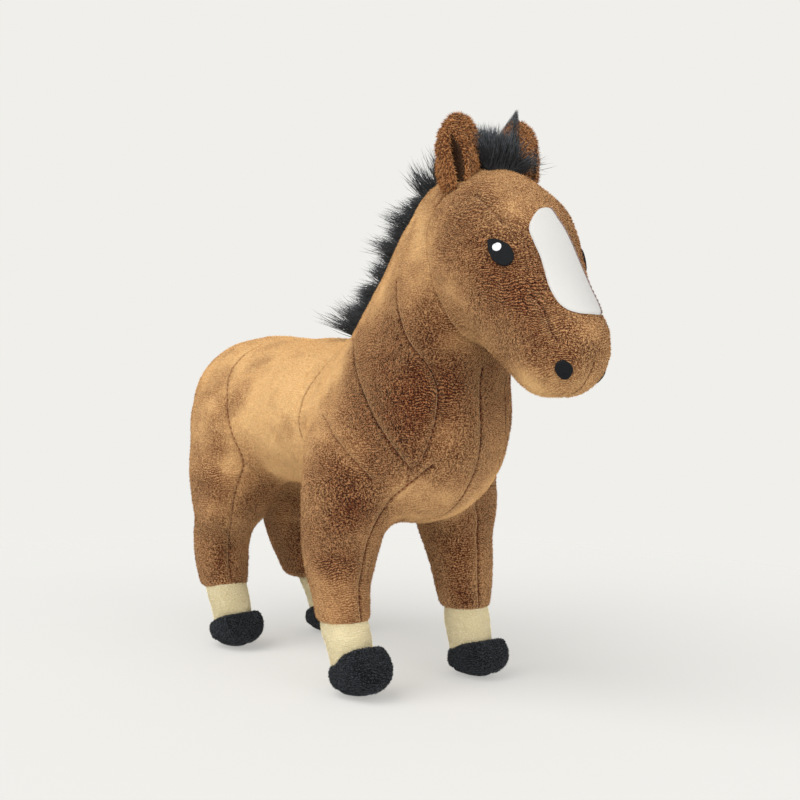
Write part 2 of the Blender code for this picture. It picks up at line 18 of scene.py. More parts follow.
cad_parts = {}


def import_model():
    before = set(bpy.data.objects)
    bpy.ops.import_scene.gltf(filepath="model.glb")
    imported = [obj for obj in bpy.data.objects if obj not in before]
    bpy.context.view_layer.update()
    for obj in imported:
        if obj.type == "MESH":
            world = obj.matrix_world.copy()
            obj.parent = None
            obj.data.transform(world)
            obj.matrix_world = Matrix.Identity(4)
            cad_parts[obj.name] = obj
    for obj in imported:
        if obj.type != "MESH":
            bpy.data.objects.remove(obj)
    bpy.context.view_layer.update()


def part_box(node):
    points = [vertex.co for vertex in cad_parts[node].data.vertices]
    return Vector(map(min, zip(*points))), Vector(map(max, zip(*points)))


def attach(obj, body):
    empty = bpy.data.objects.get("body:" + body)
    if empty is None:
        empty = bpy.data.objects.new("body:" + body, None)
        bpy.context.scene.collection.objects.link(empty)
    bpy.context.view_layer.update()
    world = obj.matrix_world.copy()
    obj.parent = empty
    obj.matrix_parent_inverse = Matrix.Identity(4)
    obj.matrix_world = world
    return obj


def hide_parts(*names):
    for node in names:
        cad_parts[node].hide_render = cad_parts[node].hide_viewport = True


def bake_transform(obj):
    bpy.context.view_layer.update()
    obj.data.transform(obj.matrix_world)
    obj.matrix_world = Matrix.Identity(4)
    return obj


LOG = logging.getLogger("plush_horse")
MM = 0.001
SIDES = {"left": 1.0, "right": -1.0}
Array = np.ndarray
Pair = tuple[float, float]
Point = tuple[float, float, float]
Colour = tuple[float, float, float, float]
Marks = dict[str, Array]
Piece = bpy.types.Object
Tree = bpy.types.NodeTree
Node = bpy.types.Node
SIDEWAYS = np.array([0.0, 1.0, 0.0])


# Small helpers


def paint(red: int, green: int, blue: int) -> Colour:
    """Turns a colour as seen on a screen into the linear one that a shader takes.

    Args:
        red, green, blue: from 0 to 255.

    Returns:
        The linear colour with full alpha.
    """
    def linear(part: float) -> float:
        """One channel's light."""
        return part / 12.92 if part <= 0.04045 else ((part + 0.055) / 1.055) ** 2.4

    return (linear(red / 255), linear(green / 255), linear(blue / 255), 1.0)


def smooth_min(first: Array, second: Array, reach: float) -> Array:
    """Joins two distances with a fillet.

    Args:
        first, second: distances to the two forms.
        reach: how far the fillet reaches.

    Returns:
        The distance to the joined form.
    """
    near = np.maximum(reach - np.abs(first - second), 0.0) / reach
    return np.minimum(first, second) - near * near * reach * 0.25


def smooth_max(first: Array, second: Array, reach: float) -> Array:
    """The overlap of two forms with a rounded edge; see smooth_min."""
    return -smooth_min(-first, -second, reach)


def smooth_step(value: Array, low: float, high: float) -> Array:
    """Rises from 0 at low to 1 at high, flat at both ends."""
    share = np.clip((value - low) / (high - low), 0.0, 1.0)
    return share * share * (3.0 - 2.0 * share)


def mirrored(point: Point, side: float) -> Point:
    """The point with its sideways distance on one side of the horse: +1 left, -1 right."""
    return (point[0], abs(point[1]) * side, point[2])


def folded(points: Array) -> Array:
    """Points of both sides of the horse, laid on its left side."""
    return points * (1, 0, 1) + np.abs(points) * (0, 1, 0)


def box_of(node: str) -> Array:
    """The lowest and the highest corner of a solid, in millimetres."""
    return np.array([list(corner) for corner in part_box(node)]) / MM


def unit(vectors: Array) -> Array:
    """Each row at length 1."""
    return vectors / np.maximum(np.linalg.norm(vectors, axis=-1, keepdims=True), 1e-9)


def curve_through(points: Sequence[Point], spacing: float) -> Array:
    """Rounds a chain of points into one smooth curve through all of them.

    Args:
        points: the chain, in order.
        spacing: rough distance between the curve's samples.

    Returns:
        The samples, one row each.
    """
    chain = np.asarray(points, float)
    padded = np.vstack([2 * chain[0] - chain[1], chain, 2 * chain[-1] - chain[-2]])
    rows = []
    for before, start, end, after in zip(padded, padded[1:], padded[2:], padded[3:]):
        count = max(2, int(np.linalg.norm(end - start) / spacing))
        t = np.linspace(0.0, 1.0, count, endpoint=False)[:, None]
        rows.append(0.5 * (2 * start + (end - before) * t
                           + (2 * before - 5 * start + 4 * end - after) * t ** 2
                           + (3 * start - before - 3 * end + after) * t ** 3))
    return np.vstack([*rows, chain[-1:]])


class Noise:
    """Smooth noise in space that is the same on each run."""

    away_from_zero = 1000.0

    def __init__(self, seed: int, cells: int = 32) -> None:
        """Fills the grid of values from the seed."""
        self.cells = cells
        self.values = np.random.default_rng(seed).uniform(-1.0, 1.0, (cells,) * 3)

    def at(self, points: Array, size: float) -> Array:
        """Reads the noise.

        Args:
            points: places, one row each.
            size: width of one lump.

        Returns:
            A value from -1 to 1 for each place.
        """
        scaled = points / size + self.away_from_zero
        corner = np.floor(scaled).astype(int)
        share = scaled - corner
        share = share * share * (3.0 - 2.0 * share)
        total = np.zeros(len(points))
        for step in np.ndindex(2, 2, 2):
            index = (corner + step) % self.cells
            weight = np.prod(np.where(np.array(step) == 1, share, 1.0 - share), axis=1)
            total += weight * self.values[index[:, 0], index[:, 1], index[:, 2]]
        return total


# Stuffed forms


class Form(Protocol):
    """Anything with an inside: below 0 inside, above 0 outside, about the distance in between."""

    def distance(self, p: Array) -> Array:
        """Measures how far places are from the surface.

        Args:
            p: the places, as three rows: x, y and z.

        Returns:
            The distance at each.
        """


@dataclass(frozen=True)
class Ball:
    """A ball of stuffing, stretched along its own axes and pitched nose down."""

    centre: Point
    radii: Point
    pitch: float = 0.0

    def distance(self, p: Array) -> Array:
        """Measures the form.

        Args:
            p: places, as Form takes them.

        Returns:
            The distance at each.
        """
        x, y, z = (p[i] - self.centre[i] for i in range(3))
        cos, sin = math.cos(math.radians(self.pitch)), math.sin(math.radians(self.pitch))
        x, z = x * cos - z * sin, x * sin + z * cos
        a, b, c = self.radii
        level = np.sqrt((x / a) ** 2 + (y / b) ** 2 + (z / c) ** 2)
        slope = np.sqrt((x / a ** 2) ** 2 + (y / b ** 2) ** 2 + (z / c ** 2) ** 2)
        return level * (level - 1.0) / np.maximum(slope, 1e-9)


@dataclass(frozen=True)
class Taper:
    """A round bar whose radius changes evenly from one end to the other."""

    start: Point
    end: Point
    start_radius: float
    end_radius: float

    def distance(self, p: Array) -> Array:
        """Measures the form.

        Args:
            p: places, as Form takes them.

        Returns:
            The distance at each.
        """
        axis = np.subtract(self.end, self.start)
        from_start = [p[i] - self.start[i] for i in range(3)]
        share = sum(from_start[i] * axis[i] for i in range(3)) / float(axis @ axis)
        share = np.clip(share, 0.0, 1.0)
        off = np.sqrt(sum((from_start[i] - share * axis[i]) ** 2 for i in range(3)))
        return off - (self.start_radius + (self.end_radius - self.start_radius) * share)


@dataclass(frozen=True)
class Blend:
    """Several forms, joined one after the other with fillets of one reach."""

    forms: Sequence[Form]
    reach: float

    def distance(self, p: Array) -> Array:
        """Measures the form.

        Args:
            p: places, as Form takes them.

        Returns:
            The distance at each.
        """
        total = self.forms[0].distance(p)
        for form in self.forms[1:]:
            total = smooth_min(total, form.distance(p), self.reach)
        return total


def rope(points: Sequence[Point], radii: Sequence[float]) -> Blend:
    """A bar along a chain of points, with a radius at each."""
    return Blend([Taper(*bar) for bar in zip(points, points[1:], radii, radii[1:])], 2.0)


@dataclass(frozen=True)
class NeckLoft:
    """The neck: oval sections strung along a line that leans forward, narrower at the crest.

    A station is its middle (x, z), its reach to the back and to the front, and its half width.
    """

    foot: Pair = (27.3, 146.0)
    lean: float = 55.0
    crest_narrowing: float = 0.24
    lowest: float = -5.0
    highest: float = 122.0
    stations: tuple[tuple[float, ...], ...] = (
        (34.7, 155, 43, 45, 43), (46.7, 172, 43, 45.5, 42.5), (58.7, 189, 43, 44.5, 40),
        (70.7, 206, 43, 41, 37), (82.7, 224, 42.5, 37, 34.5), (92.7, 239, 40, 33, 32),
        (100.7, 251, 34, 27, 27))

    @property
    def direction(self) -> Array:
        """The way that the neck rises."""
        return np.array([math.cos(math.radians(self.lean)), 0.0, math.sin(math.radians(self.lean))])

    def distance(self, p: Array) -> Array:
        """Measures the form.

        Args:
            p: places, as Form takes them.

        Returns:
            The distance at each.
        """
        cos, _, sin = self.direction
        along = (p[0] - self.foot[0]) * cos + (p[2] - self.foot[1]) * sin
        across = (p[2] - self.foot[1]) * cos - (p[0] - self.foot[0]) * sin
        x, z, back, front, width = np.array(self.stations).T
        dx, dz = x - self.foot[0], z - self.foot[1]
        at, offset = dx * cos + dz * sin, dz * cos - dx * sin
        half = np.interp(along, at, width)
        reach = np.where(across > 0, np.interp(along, at, back + offset),
                         np.interp(along, at, front - offset))
        rise = np.clip(across / reach, -1.0, 1.0)
        level = np.sqrt((across / reach) ** 2
                        + (p[1] / (half * (1.0 - self.crest_narrowing * rise))) ** 2)
        side = (level - 1.0) * np.minimum(reach, half) * 0.95
        return np.maximum(side, np.maximum(along - self.highest, self.lowest - along))


@dataclass(frozen=True)
class LimbForm:
    """One stuffed leg down to the hem of its brown skin: round sections, tapering downwards."""

    sections: tuple[tuple[float, float, float, float], ...]
    fillet: float
    hem_height: float = 37.0
    hem_round: float = 5.0

    def distance(self, p: Array) -> Array:
        """Measures the form.

        Args:
            p: places, as Form takes them.

        Returns:
            The distance at each.
        """
        levels, x, y, radius = self.profile()
        over = np.maximum(p[2] - levels[-1], 0.0)
        bar = np.sqrt((p[0] - np.interp(p[2], levels, x)) ** 2
                      + (p[1] - np.interp(p[2], levels, y)) ** 2 + over ** 2)
        return smooth_max(bar - np.interp(p[2], levels, radius), self.hem_height - p[2],
                          self.hem_round)

    def profile(self) -> tuple[Array, Array, Array, Array]:
        """Rounds the sections into a smooth leg.

        Returns:
            Heights from the hem up, and the middle's x and y and the radius at each.
        """
        places = curve_through([(z, x, y) for x, y, z, _ in self.sections], 2.0)
        sizes = curve_through([(z, radius, 0.0) for _, _, z, radius in self.sections], 2.0)
        levels = places[:, 0]
        return levels, places[:, 1], places[:, 2], np.interp(levels, sizes[:, 0], sizes[:, 1])


class HorseForm:
    """The whole stuffed body as one form: torso, neck, head and the four legs."""

    trunk = Blend((Ball((-31.1, 0, 143.4), (86.9, 45, 43.6)),
                   Ball((46.2, 0, 137.6), (53, 48, 49.6)),
                   Ball((-98.1, 0, 142.6), (54.3, 45.9, 43.6))), 22.0)
    head = Blend((Ball((106.0, 0, 237.8), (45.7, 33, 34.5), pitch=28.8),
                  Taper((114.7, 0, 222.8), (152.6, 0, 185.7), 34.8, 26.0)), 18.0)
    legs = {
        "front_left": ((44, 40, 35, 14.4), (42.6, 40, 44, 15.2), (40.5, 40, 56, 16.8),
                       (38.6, 40, 67, 18.8), (35.4, 39.4, 80, 21.6), (35.6, 38.4, 96, 23.6),
                       (34.0, 36.4, 125, 24.0)),
        "front_right": ((38.2, -40, 36, 14.8), (36.2, -40, 44, 15.2), (33.2, -40, 56, 17.0),
                        (33.3, -40, 68, 19.2), (34.4, -39.6, 80, 21.2), (36.2, -38.4, 96, 23.8),
                        (34.0, -36.4, 125, 24.0)),
        "hind_left": ((-97.5, 32.5, 33, 17.0), (-103, 30, 48, 19.2), (-105, 28.5, 59, 21.4),
                      (-105.5, 27.5, 70, 23.8), (-101, 27.5, 80, 26.2), (-93, 28, 105, 28.8),
                      (-89.2, 27.1, 130, 31.0)),
        "hind_right": ((-93.8, -35, 33, 14.2), (-95.8, -35, 48, 16.0), (-97, -35, 59, 16.8),
                       (-95.5, -34.4, 70, 18.8), (-91.4, -33, 80, 22.4), (-88.4, -30, 105, 28.5),
                       (-88.6, -27.1, 130, 31.0)),
    }
    fillets = {"front": 12.0, "hind": 14.0}
    hems = {"front": 37.0, "hind": 34.5}
    neck_fillet, cheek_fillet = 16.0, 6.0

    def __init__(self) -> None:
        """Puts the neck and the legs in place."""
        self.neck = NeckLoft()
        self.limbs = {}
        for name, sections in self.legs.items():
            end = name.split("_")[0]
            self.limbs[name] = LimbForm(sections, self.fillets[end], self.hems[end])

    def below_head(self, p: Array) -> Array:
        """Measures everything but the head.

        Args:
            p: places, as Form takes them.

        Returns:
            The distance at each.
        """
        total = smooth_min(self.trunk.distance(p), self.neck.distance(p), self.neck_fillet)
        for limb in self.limbs.values():
            total = smooth_min(total, limb.distance(p), limb.fillet)
        return total

    def distance(self, p: Array) -> Array:
        """See Form."""
        return smooth_min(self.below_head(p), self.head.distance(p), self.cheek_fillet)


def outward(form: Form, points: Array, step: float = 0.4) -> Array:
    """The way out of a form at each point.

    Args:
        form: the form.
        points: places, one row each.
        step: how far apart the distances are read.

    Returns:
        Vectors whose length is how fast the distance grows.
    """
    p = points.T
    rows = []
    for axis in range(3):
        shift = np.zeros((3, 1))
        shift[axis] = step
        rows.append((form.distance(p + shift) - form.distance(p - shift)) / (2 * step))
    return np.stack(rows, axis=1)


def settle(form: Form, points: Array, height: Array | float = 0.0, rounds: int = 3) -> Array:
    """Moves points onto a form's surface.

    Args:
        form: the form.
        points: places near its surface, one row each.
        height: how far above the surface each point ends.
        rounds: how often the move repeats.

    Returns:
        The moved points.
    """
    moved = np.array(points, float)
    for _ in range(rounds):
        slope = outward(form, moved)
        miss = form.distance(moved.T) - height
        moved -= slope * (miss / np.maximum((slope ** 2).sum(1), 0.05))[:, None]
    return moved


def drop(form: Form, points: Array, way: Array, height: Array | float = 0.0,
         rounds: int = 8) -> Array:
    """Moves points straight along one direction onto a form's surface.

    Args:
        form: the form.
        points: places near its surface, one row each.
        way: the direction, outwards.
        height: how far above the surface each point ends.
        rounds: how often the move repeats.

    Returns:
        The moved points.
    """
    moved = np.array(points, float)
    for _ in range(rounds):
        slope = np.maximum(outward(form, moved) @ way, 0.25)
        moved -= np.outer((form.distance(moved.T) - height) / slope, way)
    return moved


# Meshes


@dataclass
class Skin:
    """A mesh of four-sided faces. Points are in millimetres."""

    points: Array
    quads: Array

    def centres(self) -> Array:
        """The middle of each face."""
        return self.points[self.quads].mean(axis=1)

    def refined(self) -> "Skin":
        """Cuts each face into four.

        Returns:
            The same surface with finer faces.
        """
        edges = np.sort(np.stack([self.quads, np.roll(self.quads, -1, axis=1)], axis=2), axis=2)
        pairs, index = np.unique(edges.reshape(-1, 2), axis=0, return_inverse=True)
        index = index.reshape(-1, 4) + len(self.points)
        middles = self.points[pairs].mean(axis=1)
        first_centre = len(self.points) + len(pairs)
        centre = np.arange(len(self.quads)) + first_centre
        quads = [np.stack([self.quads[:, i], index[:, i], centre, index[:, i - 1]], axis=1)
                 for i in range(4)]
        return Skin(np.vstack([self.points, middles, self.centres()]), np.vstack(quads))

    def part(self, chosen: Array) -> tuple["Skin", Array]:
        """Takes some of the faces.

        Args:
            chosen: true for each face that is taken.

        Returns:
            The smaller skin, and the number that each of its points had here.
        """
        used, quads = np.unique(self.quads[chosen], return_inverse=True)
        return Skin(self.points[used], quads.reshape(-1, 4)), used

    def raised(self, form: Form, relief: Array) -> tuple["Skin", Array]:
        """Moves each point outwards.

        Args:
            form: what the skin lies on.
            relief: how far each point moves.

        Returns:
            The new skin, and the way out at each of its points.
        """
        out = unit(outward(form, self.points))
        return Skin(self.points + out * relief[:, None], self.quads), out


def wrap(form: Form, box: Sequence[Point] | Array, cell: float, margin: float = 0.0) -> Skin:
    """Lays faces over a form by looking at a grid of cubes round it.

    Args:
        form: the form.
        box: points that span the form's box.
        cell: size of a cube.
        margin: how far the form passes these points.

    Returns:
        A closed skin.
    """
    low, high = np.min(box, axis=0) - margin, np.max(box, axis=0) + margin
    axes = [np.arange(low[i] - 2 * cell, high[i] + 3 * cell, cell) for i in range(3)]
    grid = np.stack(np.meshgrid(*axes, indexing="ij"))
    level = form.distance(grid)
    inside = level < 0
    shape = tuple(n - 1 for n in level.shape)
    place, crossings = np.zeros((3, *shape)), np.zeros(shape)

    def corner(values: Array, at: Sequence[int]) -> Array:
        """The values at one corner of every cube."""
        return values[tuple(slice(a, a + n) for a, n in zip(at, shape))]

    for at in np.ndindex(2, 2, 2):
        for axis in range(3):
            if at[axis]:
                continue
            other = tuple(1 if i == axis else at[i] for i in range(3))
            cut = corner(inside, at) != corner(inside, other)
            near, far = corner(level, at), corner(level, other)
            share = np.where(cut, near / np.where(cut, near - far, 1.0), 0.0)
            for i in range(3):
                place[i] += np.where(cut, at[i] + (share if i == axis else 0.0), 0.0)
            crossings += cut
    used = crossings > 0
    number = np.full(shape, -1)
    number[used] = np.arange(used.sum())
    base = np.argwhere(used).T
    points = ((base + place[:, used] / crossings[used]) * cell).T + [a[0] for a in axes]
    quads = []
    for axis in range(3):
        span = [slice(1, -1)] * 3
        first, second = list(span), list(span)
        first[axis], second[axis] = slice(0, -1), slice(1, None)
        starts_inside = inside[tuple(first)]
        cut = starts_inside != inside[tuple(second)]
        spot = np.argwhere(cut)
        spot[:, [i for i in range(3) if i != axis]] += 1
        u, v = (axis + 1) % 3, (axis + 2) % 3
        ring = []
        for du, dv in ((1, 1), (0, 1), (0, 0), (1, 0)):
            at = spot.copy()
            at[:, u] -= du
            at[:, v] -= dv
            ring.append(number[at[:, 0], at[:, 1], at[:, 2]])
        faces = np.stack(ring, axis=1)
        turned = ~starts_inside[cut]
        faces[turned] = faces[turned][:, ::-1]
        quads.append(faces)
    return Skin(points, np.vstack(quads))


def band_faces(rings: int, count: int, first: int = 0) -> Array:
    """Faces between closed rings of points.

    Args:
        rings: how many rings there are.
        count: points of a ring.
        first: number of the first point.

    Returns:
        The faces, one row each.
    """
    index = np.arange(rings * count).reshape(rings, count) + first
    after = np.roll(index, -1, axis=1)
    return np.stack([index[:-1], index[1:], after[1:], after[:-1]], axis=2).reshape(-1, 4)


def tube_faces(rings: int, count: int) -> Array:
    """The same faces, turned over, as a tube needs them."""
    return band_faces(rings, count)[:, [0, 3, 2, 1]]


def disc_faces(rings: int, count: int) -> list[Array]:
    """Faces of a disc.

    Args:
        rings, count: its rings and the points of each; see band_faces.

    Returns:
        A fan round point 0, and the bands outside it.
    """
    spokes = np.arange(count) + 1
    fan = np.stack([np.zeros(count, int), spokes, np.roll(spokes, -1)], axis=1)
    return [fan, band_faces(rings, count, 1)]


def rings_round(middle: Array, along: Array, across: Array, radius: Array | float,
                sides: int) -> Array:
    """Sets a ring of points round each point of a line.

    Args:
        middle: the line's points.
        along: its direction at each.
        across: a direction square to it.
        radius: size of the rings.
        sides: points of a ring.

    Returns:
        The points, with one more axis before the last.
    """
    other = np.cross(along, across)[..., None, :]
    angles = (np.arange(sides) * 2 * math.pi / sides)[:, None]
    return middle[..., None, :] + (across[..., None, :] * np.cos(angles)
                                   + other * np.sin(angles)) * radius


def make_mesh(name: str, points: Array, faces: Sequence[Array],
              marks: Marks | None = None) -> Piece:
    """Makes a smooth mesh object.

    Args:
        name: the piece's name.
        points: vertices in millimetres, one row each.
        faces: arrays of faces, each array with its own number of corners.
        marks: values kept on the vertices for the shaders: one number or three for each.

    Returns:
        The object, linked to the scene.
    """
    mesh = bpy.data.meshes.new(name)
    mesh.vertices.add(len(points))
    mesh.vertices.foreach_set("co", (np.asarray(points, float) * MM).ravel())
    corners = np.concatenate([np.asarray(f).ravel() for f in faces])
    sizes = np.concatenate([np.full(len(f), np.asarray(f).shape[1]) for f in faces])
    mesh.loops.add(len(corners))
    mesh.loops.foreach_set("vertex_index", corners)
    mesh.polygons.add(len(sizes))
    mesh.polygons.foreach_set("loop_start", np.concatenate([[0], np.cumsum(sizes)[:-1]]))
    mesh.update(calc_edges=True)
    mesh.validate()
    mesh.shade_smooth()
    for mark, values in {"rest": points, **(marks or {})}.items():
        values = np.asarray(values, float)
        kind = "FLOAT_VECTOR" if values.ndim == 2 else "FLOAT"
        layer = mesh.attributes.new(mark, kind, "POINT")
        layer.data.foreach_set("vector" if values.ndim == 2 else "value", values.ravel())
    obj = bpy.data.objects.new(name, mesh)
    bpy.context.scene.collection.objects.link(obj)
    return obj


@dataclass(frozen=True)
class Pile:
    """Short fibres standing on a skin: one fine blade each, leaning the way of the nap."""

    length: float = 1.0
    width: float = 0.4
    density: float = 1.7
    lean: float = 0.7
    jitter: float = 0.24
    sunk: float = 0.2
    plain_tone: float = 0.3
    uneven_parting: Pair = (0.5, 1.3)
    uneven_length: Pair = (0.55, 1.1)
    way: Point = (-0.5, 0.0, -1.0)

    def cover(self, name: str, skin: Skin, chosen: Array, outwards: Array, seed: int,
              marks: Marks | None = None) -> Piece:
        """Makes a piece of some faces of a skin, covered with fibres.

        Args:
            name: the piece's name.
            skin: the whole skin.
            chosen: true for each face that is taken.
            outwards: the way out at each point of the skin.
            seed: starts the random numbers.
            marks: values kept on the skin's points. Fibres keep off "seam" and "bare".

        Returns:
            The piece. Its mark "tip" is 1 where a fibre ends.
        """
        random = np.random.default_rng(seed)
        skin, used = skin.part(chosen)
        marks = {"rest": skin.points, **{key: each[used] for key, each in (marks or {}).items()}}
        corners = skin.points[skin.quads]
        area = np.linalg.norm(np.cross(corners[:, 2] - corners[:, 0],
                                       corners[:, 3] - corners[:, 1]), axis=1) / 2
        count = int(area.sum() * self.density * (1.0))
        own = skin.quads[random.choice(len(area), count, p=area / area.sum())]
        u, v = random.uniform(0.0, 1.0, (2, count))
        weights = np.stack([(1 - u) * (1 - v), u * (1 - v), u * v, (1 - u) * v])

        def spread(values: Array) -> Array:
            """Values of the skin's points, read where the fibres stand."""
            shape = (-1,) + (1,) * (values.ndim - 1)
            return sum(w.reshape(shape) * values[own[:, i]] for i, w in enumerate(weights))

        if "seam" in marks:
            free = ((spread(marks["seam"]) > random.uniform(*self.uneven_parting, count))
                    & (spread(marks["bare"]) < 0.5))
            own, weights, count = own[free], weights[:, free], int(free.sum())
        roots, up = spread(skin.points), unit(spread(outwards[used]))
        flat = np.array(self.way) - up * (up @ np.array(self.way))[:, None]
        smooth = spread(marks["tone"]) if "tone" in marks else np.full(count, self.plain_tone)
        ways = unit(up + flat * (self.lean * (0.5 + 1.4 * smooth))[:, None]
                    + random.normal(0.0, self.jitter, (count, 3)))
        across = unit(np.cross(ways, unit(random.normal(0.0, 1.0, (count, 3))))) * self.width / 2
        tips = roots + ways * (self.length * random.uniform(*self.uneven_length, count))[:, None]
        base = roots - up * self.sunk
        blades = np.stack([base - across, base + across, tips], axis=1).reshape(-1, 3)
        faces = np.arange(count * 3).reshape(-1, 3) + len(skin.points)
        marks = {key: np.concatenate([each, np.repeat(spread(each), 3, axis=0)])
                 for key, each in marks.items()}
        marks["tip"] = np.append(np.zeros(len(skin.points)), np.tile([0.0, 0.0, 1.0], count))
        return make_mesh(name, np.vstack([skin.points, blades]), [skin.quads, faces], marks)


# Sewing


@dataclass(frozen=True)
class Seam:
    """A line of machine stitches, as points on the right side of the skin."""

    points: tuple[Point, ...]
    depth: float = 1.0
    mirror: bool = True
    # dark scales the stitches, the painted shade in the groove and the painted highlight on the
    # welts
    dark: float = 0.7


SEAMS: dict[str, Seam] = {
    "cheek": Seam(((104.5, -25.2, 262.2), (95.6, -29.7, 254.6), (92.5, -33.3, 244.7),
                   (92.8, -35.2, 236.8), (97.1, -36.5, 223.8), (98.3, -34.6, 212.1),
                   (100.7, -31.4, 204.9), (102.4, -19.5, 191.3), (101.3, 0, 183)), 1.3,
                  dark=0.1),
    "neck_shoulder": Seam(((8, -20, 191), (20, -28, 189.5), (33.6, -34.4, 185.7),
                           (41.4, -39.3, 180.5), (54.7, -44.8, 165.4), (65.9, -43.3, 149),
                           (73.4, -37.8, 135.6), (79, -29.7, 123.5)), 1.2, dark=0.85),
    "neck_side": Seam(((69.8, -34.4, 217.1), (79.8, -37.8, 194.8), (83.2, -35.8, 186.9),
                       (88.2, -27.4, 175.1), (88.6, -21.5, 163.5), (88.2, -21.3, 150),
                       (87.3, -23.1, 139.7), (83.7, -25.8, 127.3), (79.5, -29, 122),
                       (75.5, -28, 115)), 0.8, dark=0.8),
    "front_leg": Seam(((86, -21.2, 125.3), (81, -25.2, 119.7), (70.2, -29, 110.4),
                       (60.6, -31.1, 101.7), (59, -36.3, 88), (58, -37.4, 78), (58, -37.6, 69),
                       (57, -37.8, 53), (58, -38, 44), (58, -38, 36)), 0.9, dark=0.9),
    "chest_centre": Seam(((96.7, 0, 174.3), (93.1, 0, 157.3), (92.9, 0, 129.7),
                          (84.7, 0, 110.4), (62.9, 0, 93.2)), 0.9, mirror=False, dark=1.0),
    "shoulder_barrel": Seam(((8.6, -24.3, 182.2), (2.1, -35.5, 167.7), (-2.2, -42.3, 152.8),
                             (-3.5, -43.1, 136.8), (4, -42, 122), (14, -40, 108),
                             (20, -40, 92), (25, -42, 70), (29, -43, 38)), 1.0, dark=0.45),
    "shoulder_dart": Seam(((31.7, -51.6, 146.7), (38.7, -53.3, 143.5), (46.4, -54.1, 136.8),
                           (50.8, -52.8, 132.4), (54.1, -50.6, 128), (58.3, -45.9, 121.9),
                           (61.4, -40.5, 115.8)), 0.7, dark=0.6),
    "flank": Seam(((-80.2, -21.7, 182.4), (-81.6, -38, 169.1), (-70.2, -48.7, 149.5),
                   (-64.1, -48.6, 130), (-61.7, -41.7, 114.1), (-66.6, -43.9, 96.7),
                   (-69.3, -44.8, 75.1), (-70.8, -40.6, 38)), 1.0, dark=0.6),
    "groin": Seam(((-61.7, -41.7, 114.1), (-59.6, -35.4, 108.7), (-62.1, -26.8, 97.3)), 1.0,
                  dark=0.1),
    "back": Seam(((5, 0, 190), (-30, 0, 187), (-70, 0, 187), (-110, 0, 184), (-140, 0, 165),
                  (-150, 0, 140), (-140, 0, 118), (-118, 0, 100)), 0.8, mirror=False, dark=0.5),
    "brow_dart": Seam(((120.9, -25.8, 257.1), (138.5, -24.6, 242.8)), 0.7, dark=0.6),
    "muzzle": Seam(((155.9, -20.6, 208.5), (161.1, -19.1, 202.9), (164.5, -19, 197.4),
                    (168, -19.1, 191.5), (170.2, -17.9, 188.3)), 0.7, dark=0.9),
    "chin": Seam(((177, 0, 178), (172, 0, 167), (150, 0, 161), (125, 0, 172)), 0.7, mirror=False),
}

# Creases without stitches, where the stuffing gives way.
FOLDS: tuple[Seam, ...] = (
    Seam(((-57.1, -32.1, 108.8), (-59.6, -21.4, 100.9)), 1.2),
    Seam(((-29.6, -43.1, 131.1), (-25.8, -38.1, 120.4), (-28.3, -27.4, 108.8))),
    Seam(((-14.4, -43.8, 138.3), (-14.7, -40.8, 127), (-16.1, -35, 117.1))),
    Seam(((164, -21.8, 180.4), (161.8, -22.2, 178.5), (158.6, -20.9, 173.3),
          (155.9, -18.7, 169.5)), 0.9),
)

# Pile round some points of the left side: 0 stands dark, 1 stroked pale; partly painted light and
# shade.
NAP_AND_PAINTED_LIGHT: tuple[tuple[Point, float], ...] = (
    # back, barrel and belly; the belly painted pale against its shade
    ((-28, 30, 175), 1.0), ((-80, 35, 170), 0.9), ((21, 36, 174), 0.95), ((-36, 44, 151), 1.0),
    ((-18, 43, 130), 0.95), ((-40, 30, 108), 1.0), ((-45, 42, 126), 1.0), ((-20, 38, 114), 1.0),
    ((-58, 40, 118), 0.9), ((-140, 15, 150), 0.7),
    # haunch and hind leg
    ((-74, 50, 149), 0.76), ((-90, 55, 128), 0.58), ((-76, 53, 92), 0.5), ((-75, 49, 60), 0.44),
    ((-100, 40, 45), 0.3), ((-64, 30, 92), 0.4),
    # shoulder and foreleg
    ((12, 47, 145), 0.95), ((30, 52, 138), 0.8), ((48, 50, 142), 0.6), ((38, 58, 116), 0.32),
    ((51, 53, 100), 0.2), ((53, 53, 80), 0.34), ((45, 55, 55), 0.5), ((40, 30, 70), 0.35),
    # chest
    ((76, 14, 106), 0.67), ((90, 15, 135), 0.48), ((93, 0, 157), 0.28), ((60, 46, 158), 0.25),
    # neck, darkest in the shade of the jaw
    ((86, 26, 160), 0.0), ((78, 36, 174), 0.05), ((80, 37, 192), 0.1), ((78, 37, 210), 0.5),
    ((52, 36, 205), 0.92), ((85, 36, 228), 0.9), ((40, 36, 190), 0.6), ((60, 44, 183), 0.25),
    ((70, 40, 165), 0.08), ((74, 36, 146), 0.14),
    # head
    ((112, 37, 221), 0.62), ((128, 35, 230), 0.16), ((148, 27, 196), 0.2), ((129, 24, 254), 0.5),
    ((108, 20, 266), 0.62), ((151, 23, 211), 0.2), ((172, 9, 189), 0.5), ((160, 15, 167), 0.72),
    ((120, 25, 190), 0.6),
)


